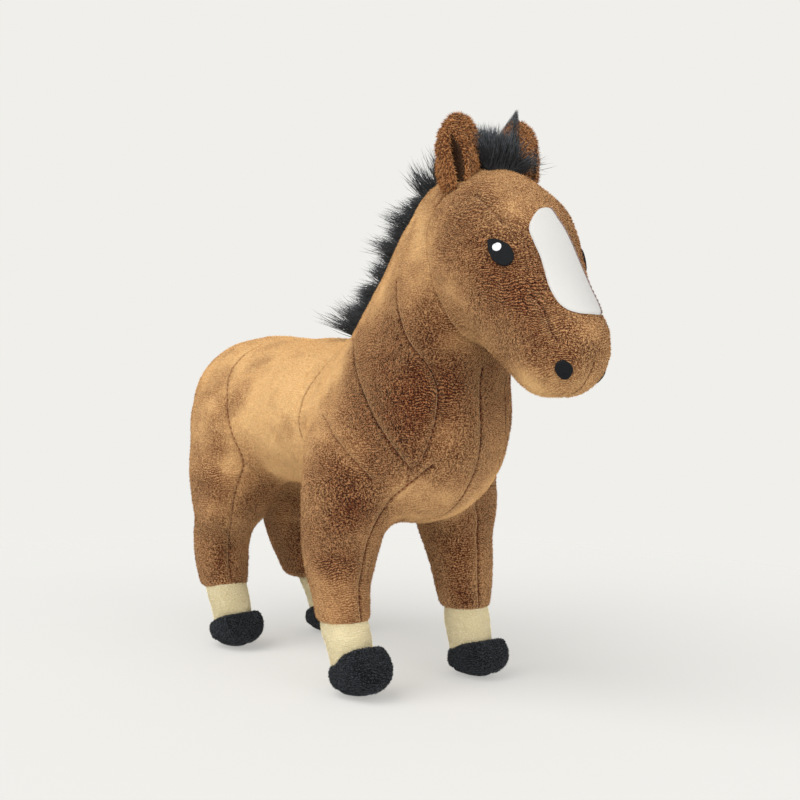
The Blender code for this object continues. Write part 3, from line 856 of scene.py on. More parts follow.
class SeamMap:
    """Finds the nearest stitch line for any place on the skin."""

    def __init__(self, seams: Iterable[Seam], form: Form) -> None:
        """Lays the lines on the form.

        Args:
            seams: the lines.
            form: the form that carries them.
        """
        rows, notes = [], []
        for seam in seams:
            for way in (-1.0, 1.0) if seam.mirror else (-1.0,):
                row = curve_through([(x, -y * way, z) for x, y, z in seam.points], 0.5)
                row = settle(form, row, rounds=4)
                along = np.append(0.0, np.cumsum(np.linalg.norm(np.diff(row, axis=0), axis=1)))
                rows.append(row)
                notes.append([along, np.full(len(row), seam.depth), np.full(len(row), seam.dark)])
        self.notes = np.hstack(notes)
        samples = np.vstack(rows)
        self.tree = KDTree(len(samples))
        for i, sample in enumerate(samples):
            self.tree.insert(sample, i)
        self.tree.balance()

    def nearest(self, points: Array) -> tuple[Array, Array, Array, Array]:
        """Looks up the nearest line.

        Args:
            points: places, one row each.

        Returns:
            For each place the distance to the line, the length along it, the line's depth and
            how dark it is.
        """
        found = [self.tree.find(point)[1:] for point in points]
        index, distance = (np.array(column) for column in zip(*found))
        return distance, *self.notes[:, index]


# Shader helpers


class Signal:
    """A value in a shader. Reckoning with it as with a number makes the nodes for that."""

    def __init__(self, bench: "Bench", socket: bpy.types.NodeSocket) -> None:
        """Keeps the bench that it belongs to, and the output that gives it."""
        self.bench, self.socket = bench, socket

    def __add__(self, other: "Input") -> "Signal":
        """The sum."""
        return self.bench.maths("ADD", self, other)

    def __mul__(self, other: "Input") -> "Signal":
        """The product."""
        return self.bench.maths("MULTIPLY", self, other)

    def __truediv__(self, other: "Input") -> "Signal":
        """The quotient."""
        return self.bench.maths("DIVIDE", self, other)

    def __rtruediv__(self, other: float) -> "Signal":
        """A number divided by it."""
        return self.bench.maths("DIVIDE", other, self)

    def __rsub__(self, other: float) -> "Signal":
        """A number less it."""
        return self.bench.maths("SUBTRACT", other, self)

    def span(self, low: float, high: float, start: float = 0.0, end: float = 1.0) -> "Signal":
        """Maps low..high to start..end, smoothly and without leaving the range."""
        return self.bench.add("MapRange", {0: self, 1: low, 2: high, 3: start, 4: end},
                              interpolation_type="SMOOTHSTEP")


Input = Signal | float | Colour
Sockets = dict[str | int, Input]
Signals = dict[str, Signal]


class Bench:
    """Adds nodes to one node tree and wires them."""

    def __init__(self, tree: Tree) -> None:
        """Takes the tree to work in."""
        self.tree = tree

    def feed(self, node: Node, sockets: Sockets) -> None:
        """Fills inputs of a node.

        Args:
            node: the node.
            sockets: a constant or another node's output for each input, by name or number.
        """
        for key, value in sockets.items():
            if isinstance(value, Signal):
                self.tree.links.new(value.socket, node.inputs[key])
            else:
                node.inputs[key].default_value = value

    def node(self, kind: str, sockets: Sockets, **settings: object) -> Node:
        """Adds a node.

        Args:
            kind: its type, without the leading ShaderNode.
            sockets: what its inputs get; see feed.
            settings: its own options.

        Returns:
            The node.
        """
        node = self.tree.nodes.new("ShaderNode" + kind)
        for key, value in settings.items():
            setattr(node, key, value)
        self.feed(node, sockets)
        return node

    def add(self, kind: str, sockets: Sockets, output: str | int = 0,
            **settings: object) -> Signal:
        """Adds a node, as node does, and takes one of its outputs."""
        return Signal(self, self.node(kind, sockets, **settings).outputs[output])

    def outputs(self, node: Node) -> Signals:
        """All outputs of a node, by name."""
        return {socket.name: Signal(self, socket) for socket in node.outputs}

    def group(self, tree: Tree, sockets: Sockets) -> Signals:
        """Adds a shared group and takes its outputs."""
        return self.outputs(self.node("Group", sockets, node_tree=tree))

    def maths(self, operation: str, *values: Input) -> Signal:
        """The result of a Math node on the given values."""
        return self.add("Math", dict(enumerate(values)), operation=operation)

    def mix(self, share: Input, first: Input, second: Input, how: str = "MIX") -> Signal:
        """A colour between two others."""
        return self.add("Mix", {0: share, 6: first, 7: second}, 2, data_type="RGBA", blend_type=how)

    def noise(self, place: Signal, scale: Input, detail: float = 2.0, roughness: float = 0.5,
              output: str = "Fac") -> Signal:
        """Noise from 0 to 1 at a place."""
        return self.add("TexNoise", {"Vector": place, "Scale": scale, "Detail": detail,
                                     "Roughness": roughness}, output)

    def mark(self, name: str, output: str = "Fac") -> Signal:
        """A value kept on the mesh."""
        return self.add("Attribute", {}, output, attribute_name=name)

    def bump(self, height: Signal, strength: float, distance: float) -> Signal:
        """The way that a relief tilts the surface. Its distance is in millimetres."""
        return self.add("Bump", {"Strength": strength, "Distance": distance * MM, "Height": height})


class Kind(Enum):
    """Socket types of a node group."""

    NUMBER = "NodeSocketFloat"
    COLOUR = "NodeSocketColor"
    VECTOR = "NodeSocketVector"


def short_pile(bench: Bench, given: Signals) -> Signals:
    """Short plush pile: tufts in rows, gaps painted as shade, smoother and paler where it is
    stroked.

    Args:
        bench: where the nodes go.
        given: the group's inputs.

    Returns:
        The group's outputs.
    """
    place, reach, body, tip = (given[name] for name in ("Place", "Reach", "Body", "Tip"))
    sway = bench.noise(place, 0.035, 1.5, output="Color")
    drift = bench.add("VectorMath", {0: sway, 1: (17.0, 17.0, 17.0)}, operation="MULTIPLY")
    frequency = 1.0 / given["Grain"]
    rows = bench.add("TexWave", {"Vector": bench.add("VectorMath", {0: place, 1: drift}),
                                 "Scale": frequency * 0.34, "Distortion": 7.0, "Detail": 3.0,
                                 "Detail Scale": 1.4, "Detail Roughness": 0.6},
                     "Fac", wave_type="BANDS", bands_direction="Z")
    combed = bench.noise(place, 0.035).span(0.36, 0.62, 0.25, 1.05) * 0.45
    speck = bench.noise(place, frequency * 1.5, roughness=0.75).span(0.32, 0.68)
    grain = (combed * rows + (1.0 - combed) * speck) * 0.85 + reach * 0.28
    stroked = bench.noise(place, 1.0 / given["Patch"], 4.0, 0.6).span(0.28, 0.72, -0.14, 0.14)
    # The tone is partly painted light and shade.
    nap = bench.maths("MINIMUM", bench.maths("MAXIMUM", given["Tone"] + stroked, 0.0), 1.0)
    nap = bench.maths("POWER", nap, 1.5)
    standing = nap.span(0.15, 0.95, 1.0, 0.25)
    # Painted shade in the gaps between tufts.
    gap = grain.span(0.34, 0.6, 1.0, 0.0) * (given["Contrast"] * standing)
    colour = bench.mix(gap, bench.mix(nap, body, tip), bench.mix(nap * 0.8, given["Shade"], body))
    # Painted highlight on the tufts.
    colour = bench.mix(grain.span(0.5, 0.8) * (standing * 0.42), colour, tip)
    # Fibre tips painted paler, as painted sheen.
    colour = bench.mix(reach.span(0.2, 1.0) * (nap * 0.4 + 0.04), colour, tip)
    return {"Colour": colour, "Height": grain * (standing + 0.2),
            "Roughness": grain.span(0.2, 0.8, 0.95, 0.8)}


def sewn_line(bench: Bench, given: Signals) -> Signals:
    """A sewn line: pile parts over dark stitches that come and go along it.

    Args:
        bench: where the nodes go.
        given: the group's inputs.

    Returns:
        The group's outputs.
    """
    far, strength = given["Distance"], given["Strength"]
    wave = bench.maths("SINE", given["Along"] / given["Stitch"] * (2 * math.pi))
    near = far.span(0.25, 0.95, 1.0, 0.0)
    dash = wave.span(-0.3, 0.5).span(0.0, 1.0, 0.2, 1.0)
    # Stitches, and painted shade in the groove beside them.
    dark = near * dash + far.span(0.6, 2.2, 1.0, 0.0) * 0.24
    # Painted highlight on the welts beside the seam.
    welt_highlight = far.span(1.0, 2.0) * far.span(2.0, 4.5, 0.08, 0.0)
    colour = bench.mix(welt_highlight * strength, given["Colour"], given["Pale"])
    return {"Colour": bench.mix(dark * strength, colour, given["Thread"], "MULTIPLY"),
            "Height": near * -1.0}


def long_hair(bench: Bench, given: Signals) -> Signals:
    """Long hair: dark at the root, tip paler as a painted highlight, each lock a little different.

    Args:
        bench: where the nodes go.
        given: the group's inputs.

    Returns:
        The group's outputs.
    """
    lock = bench.noise(given["Place"], 1.0 / given["Lock"])
    # Painted highlight towards the tips.
    pale = given["Reach"].span(0.45, 1.0) * lock.span(0.4, 0.68, 0.1, 1.0)
    return {"Colour": bench.mix(pale, given["Root"], given["Tip"]),
            "Roughness": lock.span(0.3, 0.7, 0.45, 0.65)}


def laid_threads(bench: Bench, given: Signals) -> Signals:
    """Parallel threads, as in satin stitch or a brushed weave, with a little dust of colour.

    Args:
        bench: where the nodes go.
        given: the group's inputs.

    Returns:
        The group's outputs.
    """
    frequency = 0.5 / given["Pitch"]
    wave = bench.add("TexWave", {"Vector": given["Place"], "Scale": frequency, "Distortion": 1.5,
                                 "Detail": 1.0, "Detail Scale": 2.0},
                     "Fac", wave_type="BANDS", bands_direction="DIAGONAL")
    speck = bench.noise(given["Place"], frequency * 3.0)
    share = wave * 0.5 + speck * given["Mottle"]
    return {"Colour": bench.mix(share.span(0.1, 0.9), given["Low"], given["High"]),
            "Height": share, "Roughness": speck.span(0.3, 0.7, 0.55, 0.8)}


def new_group(name: str, inputs: dict[Kind, str],
              wire: Callable[[Bench, Signals], Signals]) -> Tree:
    """Makes a shader node group.

    Args:
        name: the group's name.
        inputs: the names of its inputs of each kind, with spaces between them.
        wire: makes its nodes and gives its outputs: a colour named Colour, and numbers.

    Returns:
        The group.
    """
    tree = bpy.data.node_groups.new(name, "ShaderNodeTree")
    for kind, names in inputs.items():
        for socket in names.split():
            tree.interface.new_socket(socket, in_out="INPUT", socket_type=kind.value)
    bench = Bench(tree)
    results = wire(bench, bench.outputs(tree.nodes.new("NodeGroupInput")))
    for socket in results:
        kind = Kind.COLOUR if socket == "Colour" else Kind.NUMBER
        tree.interface.new_socket(socket, in_out="OUTPUT", socket_type=kind.value)
    bench.feed(tree.nodes.new("NodeGroupOutput"), results)
    return tree


class Effects:
    """The node groups that the finishes share."""

    def __init__(self) -> None:
        """Builds each group once."""
        self.pile = new_group("Short pile", {
            Kind.VECTOR: "Place", Kind.NUMBER: "Grain Patch Tone Contrast Reach",
            Kind.COLOUR: "Shade Body Tip"}, short_pile)
        self.seam = new_group("Sewn line", {
            Kind.NUMBER: "Distance Along Stitch Strength", Kind.COLOUR: "Colour Thread Pale"},
            sewn_line)
        self.strand = new_group("Long hair", {
            Kind.VECTOR: "Place", Kind.NUMBER: "Reach Lock", Kind.COLOUR: "Root Tip"}, long_hair)
        self.fibre = new_group("Laid threads", {
            Kind.VECTOR: "Place", Kind.NUMBER: "Pitch Mottle", Kind.COLOUR: "Low High"},
            laid_threads)


# Finishes


@dataclass(frozen=True)
class PileFinish:
    """Plush fabric: three colours of its pile, its grain and patches in millimetres.

    One with a thread is sewn, and one without a tone of its own takes it from the mesh.
    """

    name: str
    shade: Colour
    body: Colour
    tip: Colour
    thread: Colour | None = None
    grain: float = 1.15
    patch: float = 26.0
    contrast: float = 1.0
    tone: float | None = None
    sheen: float = 1.0
    sheen_tint: Colour = (1.0, 0.62, 0.3, 1.0)
    stitch: float = 3.5

    def surface(self, bench: Bench, effects: Effects) -> Sockets:
        """Wires the surface.

        Args:
            bench: where the nodes go.
            effects: the shared node groups.

        Returns:
            The inputs of the Principled shader.
        """
        pile = bench.group(effects.pile, {
            "Place": bench.mark("rest", "Vector"), "Grain": self.grain, "Patch": self.patch,
            "Tone": bench.mark("tone") if self.tone is None else self.tone,
            "Contrast": self.contrast, "Reach": bench.mark("tip"), "Shade": self.shade,
            "Body": self.body, "Tip": self.tip})
        colour, height = pile["Colour"], pile["Height"]
        if self.thread:
            line = bench.group(effects.seam, {
                "Colour": colour, "Thread": self.thread, "Pale": self.tip,
                "Strength": bench.mark("dark"), "Distance": bench.mark("seam"),
                "Along": bench.mark("along"), "Stitch": self.stitch})
            colour, height = line["Colour"], height + line["Height"]
        return {"Base Color": colour, "Roughness": pile["Roughness"],
                "Normal": bench.bump(height, 1.0, 0.8), "Sheen Weight": self.sheen,
                "Sheen Roughness": 0.25, "Sheen Tint": self.sheen_tint, "Specular IOR Level": 0.2}


@dataclass(frozen=True)
class HairFinish:
    """Long faux fur: its root and tip colours, and how wide a lock is."""

    name: str
    root: Colour
    tip: Colour
    lock: float = 3.0

    def surface(self, bench: Bench, effects: Effects) -> Sockets:
        """Wires the surface.

        Args:
            bench, effects: see PileFinish.surface.

        Returns:
            The inputs of the Principled shader.
        """
        hair = bench.group(effects.strand, {
            "Place": bench.mark("rest", "Vector"), "Reach": bench.mark("reach"),
            "Root": self.root, "Tip": self.tip, "Lock": self.lock})
        return {"Base Color": hair["Colour"], "Roughness": hair["Roughness"],
                "Sheen Weight": 0.1, "Sheen Roughness": 0.5, "Specular IOR Level": 0.3}


@dataclass(frozen=True)
class ThreadFinish:
    """Embroidery or a brushed flat fabric: its two colours and the pitch of its threads."""

    name: str
    low: Colour
    high: Colour
    pitch: float = 0.35
    mottle: float = 0.5
    bump: float = 0.4
    sheen: float = 0.1
    specular: float = 0.3

    def surface(self, bench: Bench, effects: Effects) -> Sockets:
        """Wires the surface.

        Args:
            bench, effects: see PileFinish.surface.

        Returns:
            The inputs of the Principled shader.
        """
        threads = bench.group(effects.fibre, {
            "Place": bench.mark("rest", "Vector"), "Pitch": self.pitch, "Mottle": self.mottle,
            "Low": self.low, "High": self.high})
        return {"Base Color": threads["Colour"], "Roughness": threads["Roughness"],
                "Normal": bench.bump(threads["Height"], self.bump, 0.3),
                "Sheen Weight": self.sheen, "Specular IOR Level": self.specular}


FINISHES = (
    PileFinish("brown plush", paint(38, 12, 3), paint(138, 62, 24), paint(237, 195, 135),
               thread=paint(142, 74, 36)),
    PileFinish("ear plush", paint(52, 25, 13), paint(143, 79, 42), paint(228, 170, 108),
               tone=0.36, grain=1.6),
    # The ear's lining is the same brown plush, painted dark as the shade in the fold.
    PileFinish("ear lining", paint(52, 32, 22), paint(84, 54, 34), paint(120, 82, 52), tone=0.1,
               sheen=0.15),
    PileFinish("cream plush", paint(220, 199, 146), paint(247, 231, 184), paint(253, 244, 214),
               grain=1.1, contrast=0.5, tone=0.35, sheen=0.15, sheen_tint=(1.0, 0.95, 0.82, 1.0)),
    PileFinish("black plush", paint(3, 4, 5), paint(26, 29, 33), paint(84, 90, 98), grain=1.3,
               tone=0.0, sheen=0.1, sheen_tint=(0.85, 0.92, 1.0, 1.0)),
    # The hair's pale tip colour is a painted highlight.
    HairFinish("black hair", paint(5, 6, 8), paint(92, 98, 106)),
    ThreadFinish("pale face fabric", paint(189, 187, 183), paint(208, 206, 202), pitch=0.45,
                 mottle=0.6, bump=0.25),
    ThreadFinish("black thread", paint(6, 7, 9), paint(24, 26, 30), pitch=0.4, specular=0.15,
                 sheen=0.0),
    ThreadFinish("white thread", paint(222, 224, 230), paint(250, 250, 252)),
    ThreadFinish("edge thread", paint(110, 88, 84), paint(150, 128, 120)),
)


def new_material(name: str) -> tuple[bpy.types.Material, Bench, Node]:
    """Starts an empty material.

    Args:
        name: its name.

    Returns:
        The material, a bench in its node tree, and its output node.
    """
    material = bpy.data.materials.new(name)
    material.use_nodes = True
    material.node_tree.nodes.clear()
    bench = Bench(material.node_tree)
    return material, bench, bench.node("OutputMaterial", {})


class Wardrobe:
    """Every finish of the horse, made once."""

    def __init__(self) -> None:
        """Builds the materials."""
        effects = Effects()
        self.materials: dict[str, bpy.types.Material] = {}
        for finish in FINISHES:
            self.materials[finish.name], bench, out = new_material(finish.name)
            shader = bench.add("BsdfPrincipled", finish.surface(bench, effects))
            bench.feed(out, {"Surface": shader})

    def dress(self, piece: Piece, finish: str, slot: str, body: str | None = None,
              nodes: Sequence[str] = ()) -> None:
        """Gives a piece its finish and its body, and reports it.

        Args:
            piece: the piece.
            finish: the finish's name here.
            slot: not used.
            body: the body that carries it, if any.
            nodes: the solids that it stands for.
        """
        piece.data.materials.append(self.materials[finish])
        if body:
            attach(piece, body)
        if nodes:
            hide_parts(*nodes)
        LOG.info("%s: %d faces", piece.name, len(piece.data.polygons))


# The body


class Panel(Enum):
    """The skins that the body is cut into."""

    BARREL = "barrel"
    NECK = "neck"
    HEAD = "head"
    FRONT_LEFT = "front_left"
    FRONT_RIGHT = "front_right"
    HIND_LEFT = "hind_left"
    HIND_RIGHT = "hind_right"


@dataclass
class PlushBody:
    """The brown skins of torso, neck, head and legs, cut from one stuffed form.

    Each edge between two skins is a line in the side view. Each relief is its height and width.
    """

    form: HorseForm
    cell: float = 1.65
    box: tuple[Point, Point] = ((-152.0, -60.0, 36.0), (182.0, 60.0, 275.0))
    nod_from: float = 176.0
    nod_to: float = 214.0
    leg_bend: float = 30.0
    leg_way: Pair = (0.5, -0.866)
    shrink: float = 0.5
    patch_reach: float = 11.0
    groove: Pair = (0.6, 1.1)
    valley: Pair = (0.55, 5.0)
    pucker: Pair = (0.16, 1.6)
    pucker_offset: float = 2.6
    pucker_turn: float = 0.95
    fold_width: float = 4.0
    lump: Pair = (0.8, 26.0)
    dent: Pair = (0.35, 11.0)
    nap: Pair = (0.2, 1.5)
    plain_below: Pair = (38.0, 50.0)
    limb_top: float = 125.0
    chest_floor: float = 110.0
    pile: Pile = Pile()
    neck_edge: tuple[Pair, ...] = (
        (-2, 205), (8, 191), (20, 189.5), (33.6, 185.7), (41.4, 180.5), (54.7, 165.4),
        (65.9, 149), (73.4, 135.6), (79, 123.5), (92, 96))
    shoulder_edge: tuple[Pair, ...] = (
        (4, 122), (-3.5, 136.8), (-2.2, 152.8), (2.1, 167.7), (8.6, 182.2), (12, 195))
    flank_edge: tuple[Pair, ...] = (
        (-60, 100), (-61.7, 114.1), (-64.1, 130), (-70.2, 149.5), (-81.6, 169.1), (-80.2, 182.4),
        (-79, 195))

    @property
    def nod_span(self) -> tuple[Vector, Vector]:
        """Two points up the neck's line, at nod_from and nod_to, in metres."""
        direction = Vector(self.form.neck.direction) * MM
        return direction * self.nod_from, direction * self.nod_to

    def tone(self, points: Array, outwards: Array, noise: Noise) -> Array:
        """How pale the pile is at each place: listed patches that are partly painted light and
        shade.

        Args:
            points: places on the skin.
            outwards: the way out at each.
            noise: breaks up the edges of the patches.

        Returns:
            A share from 0 to 1.
        """
        near_side = folded(points)
        total, weight = np.zeros(len(points)), np.full(len(points), 1e-9)
        for spot, value in NAP_AND_PAINTED_LIGHT:
            near = np.exp(-((near_side - spot) ** 2).sum(axis=1) / (2 * self.patch_reach ** 2))
            total += near * value
            weight += near
        # Painted light: paler where the skin faces down, on the widest sides and round the rump.
        under = smooth_step(-outwards[:, 2], 0.15, 0.85)
        widest = smooth_step(near_side[:, 1], 55.0, 60.0)
        rump = smooth_step(-points[:, 0], 138.0, 152.0)
        painted_light = 0.12 * under + 0.12 * widest + 0.1 * rump
        blotch = 0.19 * noise.at(points, 14.0) + 0.09 * noise.at(points, 6.0)
        smooth = total / weight
        return np.clip(smooth + painted_light + blotch * (1.3 - smooth), 0.0, 1.0)

    def labels(self, centres: Array) -> Array:
        """Says which skin each face belongs to.

        Args:
            centres: the middles of the faces.

        Returns:
            The number of the skin in Panel's order, for each face.
        """
        order = list(Panel)
        p = x, y, z = centres.T
        trunk = self.form.trunk.distance(p)
        in_front = z > np.interp(x, *zip(*self.neck_edge))
        found = np.where(in_front & (x > 0), order.index(Panel.NECK), order.index(Panel.BARREL))
        shoulder_x, flank_x = (np.interp(z, *list(zip(*edge))[::-1])
                               for edge in (self.shoulder_edge, self.flank_edge))
        shoulder = (x > shoulder_x) & (z > 122) & ~in_front & (np.abs(y) > 8)
        for name, limb in self.form.limbs.items():
            near, broad = (x > -20, shoulder) if "front" in name else (x < -40, x < flank_x)
            shank = (limb.distance(p) < trunk) & (z < self.limb_top)
            own_side = y * SIDES[name.split("_")[1]] > 0
            chest = in_front & (x > 0) & (z > self.chest_floor)
            found[own_side & near & (shank | broad) & ~chest] = order.index(Panel(name))
        on_head = self.form.head.distance(p) < self.form.below_head(p)
        found[on_head] = order.index(Panel.HEAD)
        return found

    def relief(self, points: Array, distance: Array, along: Array, depth: Array) -> Array:
        """How far seams, folds, lumps and nap lift or sink the skin.

        Args:
            points: places on the skin.
            distance: how far the nearest seam is from each.
            along: how far along that seam it lies.
            depth: that seam's depth.

        Returns:
            The height at each place.
        """
        def bell(off: Array, width: float) -> Array:
            """Falls from 1 to 0 on both sides of a line."""
            return np.exp(-(off / width) ** 2)

        crease, _, sink, _ = SeamMap(FOLDS, self.form).nearest(points)
        soft, fine = Noise(11), Noise(12)
        height = (-self.groove[0] * depth * bell(distance, self.groove[1])
                  - self.valley[0] * depth * np.exp(-distance / self.valley[1])
                  + self.pucker[0] * np.sin(along * self.pucker_turn)
                  * bell(distance - self.pucker_offset, self.pucker[1])
                  - sink * bell(crease, self.fold_width)
                  + self.lump[0] * soft.at(points, self.lump[1])
                  + self.dent[0] * soft.at(points, self.dent[1])
                  + self.nap[0] * fine.at(points * (1.0, 1.0, 0.65), self.nap[1]))
        return height * smooth_step(points[:, 2], *self.plain_below)

    def build(self, wardrobe: Wardrobe, face: "Face") -> None:
        """Makes, splits and dresses the skins.

        Args:
            wardrobe: the finishes.
            face: says where no pile stands, because a mark covers the skin.
        """
        cell = self.cell * 1.0
        skin = wrap(self.form, self.box, cell).refined()
        skin.points = rest = settle(self.form, skin.points)
        distance, along, depth, dark = SeamMap(SEAMS.values(), self.form).nearest(rest)
        raised, out = skin.raised(
            self.form, self.relief(rest, distance, along, depth) - self.shrink)
        marks = {"seam": distance, "along": along, "tone": self.tone(rest, out, Noise(13)),
                 "bare": face.covered(rest), "dark": dark}
        label = self.labels(skin.centres())
        users = np.zeros((len(rest), len(Panel)), bool)
        for corner in range(4):
            users[skin.quads[:, corner], label] = True
        shared = users.sum(axis=1) > 1
        for number, panel in enumerate(Panel):
            piece = self.pile.cover(f"{panel.value}_plush", raised, label == number, out,
                                    70 + number, marks)
            self.mount(wardrobe, panel, piece, rest[users[:, number] & shared])

    def mount(self, wardrobe: Wardrobe, panel: Panel, piece: Piece,
              edge: Array) -> None:
        """Dresses a skin, ties the barrel to the torso and hides the solids that it stands for.

        Args:
            wardrobe: the finishes.
            panel: which skin it is.
            piece: its object.
            edge: the points that it shares with its neighbours.
        """
        name = panel.value
        if panel is Panel.BARREL:
            wardrobe.dress(piece, "brown plush", "tan_plush", "torso",
                           ("torso_skin", "torso_stuffing"))
            return
        trunk_like = panel in (Panel.NECK, Panel.HEAD)
        if trunk_like:
            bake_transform(piece)
        else:
            way = SIDES[name.split("_")[1]]
            down = Vector((0.0, self.leg_way[0] * way, self.leg_way[1]))
            start = float((edge @ np.array(down)).max()) + 1.0
            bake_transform(piece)
        wardrobe.dress(piece, "brown plush", "brown_plush", None,
                       (f"{name}_{'skin' if trunk_like else 'leg'}", f"{name}_stuffing"))


# Feet


@dataclass(frozen=True)
class HoofForm:
    """A stuffed hoof: its rim climbs from the heel to a corner, its front slopes to the toe."""

    middle: Point
    rim_height: float
    rim_climb: float
    corner_height: float
    rim_behind: float = 6.0
    corner_ahead: float = 6.5
    heel_in: float = 2.0
    sole_height: float = 0.3

    def distance(self, p: Array) -> Array:
        """Measures the form.

        Args:
            p: places, as Form takes them.

        Returns:
            The distance at each.
        """
        x, y, ground = self.middle
        heel = math.copysign(self.heel_in, -y)
        stuffed = Ball((x - 4.5, y, 11.6), (14.4, 13.6, 11.3), pitch=-6).distance(p)
        for ball, reach in ((Ball((x + 6.5, y, 15.6), (12.4, 12.8, 11.8)), 6.0),
                            (Ball((x + 1.5, y, self.corner_height - 8), (11.4, 12.0, 12.0)), 5.0),
                            (Ball((x - 11.5, y + heel, 8.2), (7.6, 8.6, 7.2)), 2.0)):
            stuffed = smooth_min(stuffed, ball.distance(p), reach)
        rim = p[2] - self.rim_height - self.rim_climb * (p[0] - x + self.rim_behind)
        front = 0.8 * (p[0] - x - self.corner_ahead) + 0.6 * (p[2] - self.corner_height)
        cut = smooth_max(rim * 0.86, front, 1.0)
        return smooth_max(smooth_max(stuffed, cut, 2.2), ground + self.sole_height - p[2], 2.0)


@dataclass(frozen=True)
class FootShape:
    """Where a foot sits: its hoof's middle and rim, and the sock's sections (x, z, radius)."""

    sock: tuple[Point, ...]
    hoof_x: float = -78.5
    rim_height: float = 17.0
    rim_climb: float = 0.4
    corner_height: float = 23.5


FEET: dict[str, FootShape] = {
    "front_right": FootShape(((48.0, 9, 10.6), (44.8, 22, 11.8), (40.0, 33, 12.9),
                              (37.4, 43, 12.0)), 54.0, 20.5, 0.58, 28.0),
    "front_left": FootShape(((50.5, 9, 10.8), (48.4, 20, 12.0), (45.8, 31, 12.6),
                             (43.4, 42, 11.8)), 56.3, 17.5, 0.32, 23.0),
    "hind_right": FootShape(((-82.4, 9, 10.6), (-85.2, 23, 11.6), (-90, 33, 12.2),
                             (-93.2, 42, 11.4))),
    "hind_left": FootShape(((-82.4, 9, 10.6), (-87.0, 23, 11.8), (-94.0, 33, 12.6),
                            (-97.5, 42, 11.6))),
}


@dataclass
class Foot:
    """The cream sock, the black hoof and its sole, at the end of one limb.

    Each relief is its height, its noise's seed and the width of a lump.
    """

    limb: str
    cell: float = 1.8
    sole_seam: float = 3.4
    seam_depth: float = 1.0
    sock_foot: float = 7.0
    relief: tuple[tuple[float, int, float], ...] = ((0.35, 21, 9.0), (0.22, 22, 1.3),
                                                    (0.12, 23, 0.9))
    piles = {"sock": Pile(length=0.8, width=0.35, density=2.0),
             "hoof": Pile(length=0.9, width=0.4, density=2.5),
             "sole": Pile(length=0.4, width=0.3, density=0.5)}

    def build(self, wardrobe: Wardrobe) -> None:
        """Makes and dresses sock, hoof and sole.

        Args:
            wardrobe: the finishes.
        """
        shape = FEET[self.limb]
        y = box_of(f"{self.limb}_sock").mean(axis=0)[1]
        sock = LimbForm(tuple((x, y, z, radius) for x, z, radius in shape.sock), 0.0,
                        self.sock_foot, hem_round=2.0)
        hoof = HoofForm((shape.hoof_x, y, 0.0), shape.rim_height, shape.rim_climb,
                        shape.corner_height)
        x, top = shape.hoof_x, shape.sock[-1][1]
        for name, form, colour in (("sock", sock, "cream"), ("hoof", hoof, "black")):
            skin = wrap(form, ((x - 34, y - 20, -2), (x + 26, y + 20, top + 16)),
                        self.cell * (1.0)).refined()
            skin.points = rest = settle(form, skin.points)
            relief = sum(high * Noise(seed).at(rest, size) for high, seed, size in self.relief)
            under = np.full(len(skin.quads), False)
            if name == "hoof":
                relief = (relief * smooth_step(rest[:, 2], 0.6, 3.0)
                          - self.seam_depth * np.exp(-(rest[:, 2] - self.sole_seam) ** 2))
                under = skin.centres()[:, 2] < self.sole_seam
            raised, out = skin.raised(form, relief)
            for part, chosen in ((name, ~under), ("sole", under)):
                if chosen.any():
                    piece = self.piles[part].cover(f"{self.limb}_{part}_plush", raised, chosen,
                                                   out, 81)
                    wardrobe.dress(piece, f"{colour} plush", f"{colour}_plush",
                                   f"{self.limb}_limb", (f"{self.limb}_{part}",))


# Face


@dataclass(frozen=True)
class Mark:
    """A flat shape sewn or embroidered on the head, drawn round a point of its surface."""

    rim: tuple[Pair, ...]
    height: float
    rings: int = 14
    ridge: float = 0.0
    pitch: float = 0.9
    tuck: float = 0.5

    def outline(self, spacing: float = 0.35) -> Array:
        """The rim as a closed smooth line.

        Args:
            spacing: rough distance between its samples.

        Returns:
            Two columns: towards the nose and upwards.
        """
        rim = [(a, b, 0.0) for a, b in self.rim]
        closed = curve_through([*rim[-2:], *rim, *rim[:3]], spacing)
        search, shortest = 60, 40
        first = int(np.argmin(np.linalg.norm(closed - np.array(rim[0]), axis=1)[:search]))
        ends = np.linalg.norm(closed[first + shortest:] - closed[first], axis=1)
        return closed[first:first + shortest + int(np.argmin(ends)), :2]

    def lay(self, name: str, form: Form, centre: Array, ahead: Array, up: Array,
            way: Array) -> Piece:
        """Makes the shape on a form.

        Args:
            name: the piece's name.
            form: what carries it.
            centre: where its own origin lies.
            ahead, up: the directions of its two axes.
            way: the direction, outwards, along which it is laid on.

        Returns:
            The piece.
        """
        rim = self.outline()
        middle = rim.mean(0)
        shares = (np.arange(1, self.rings + 1) / self.rings) ** 0.5
        flat = np.vstack([[middle], *(middle + (rim - middle) * s for s in shares)])
        share = np.concatenate([[0.0], np.repeat(shares, len(rim))])
        height = self.height * np.sqrt(np.clip(1.0 - share ** 24, 0.0, 1.0))
        height -= self.tuck * (share > 0.999)
        if self.ridge:
            turn = flat @ (0.8, 0.6) * 2 * math.pi / self.pitch
            height += self.ridge * np.sin(turn) * (share < 0.95)
        points = centre + flat[:, :1] * ahead + flat[:, 1:] * up
        points = drop(form, points, way, height)
        faces = disc_faces(self.rings, len(rim))
        if np.cross(ahead, up) @ way < 0:
            faces = [group[:, ::-1] for group in faces]
        return make_mesh(name, points, faces)


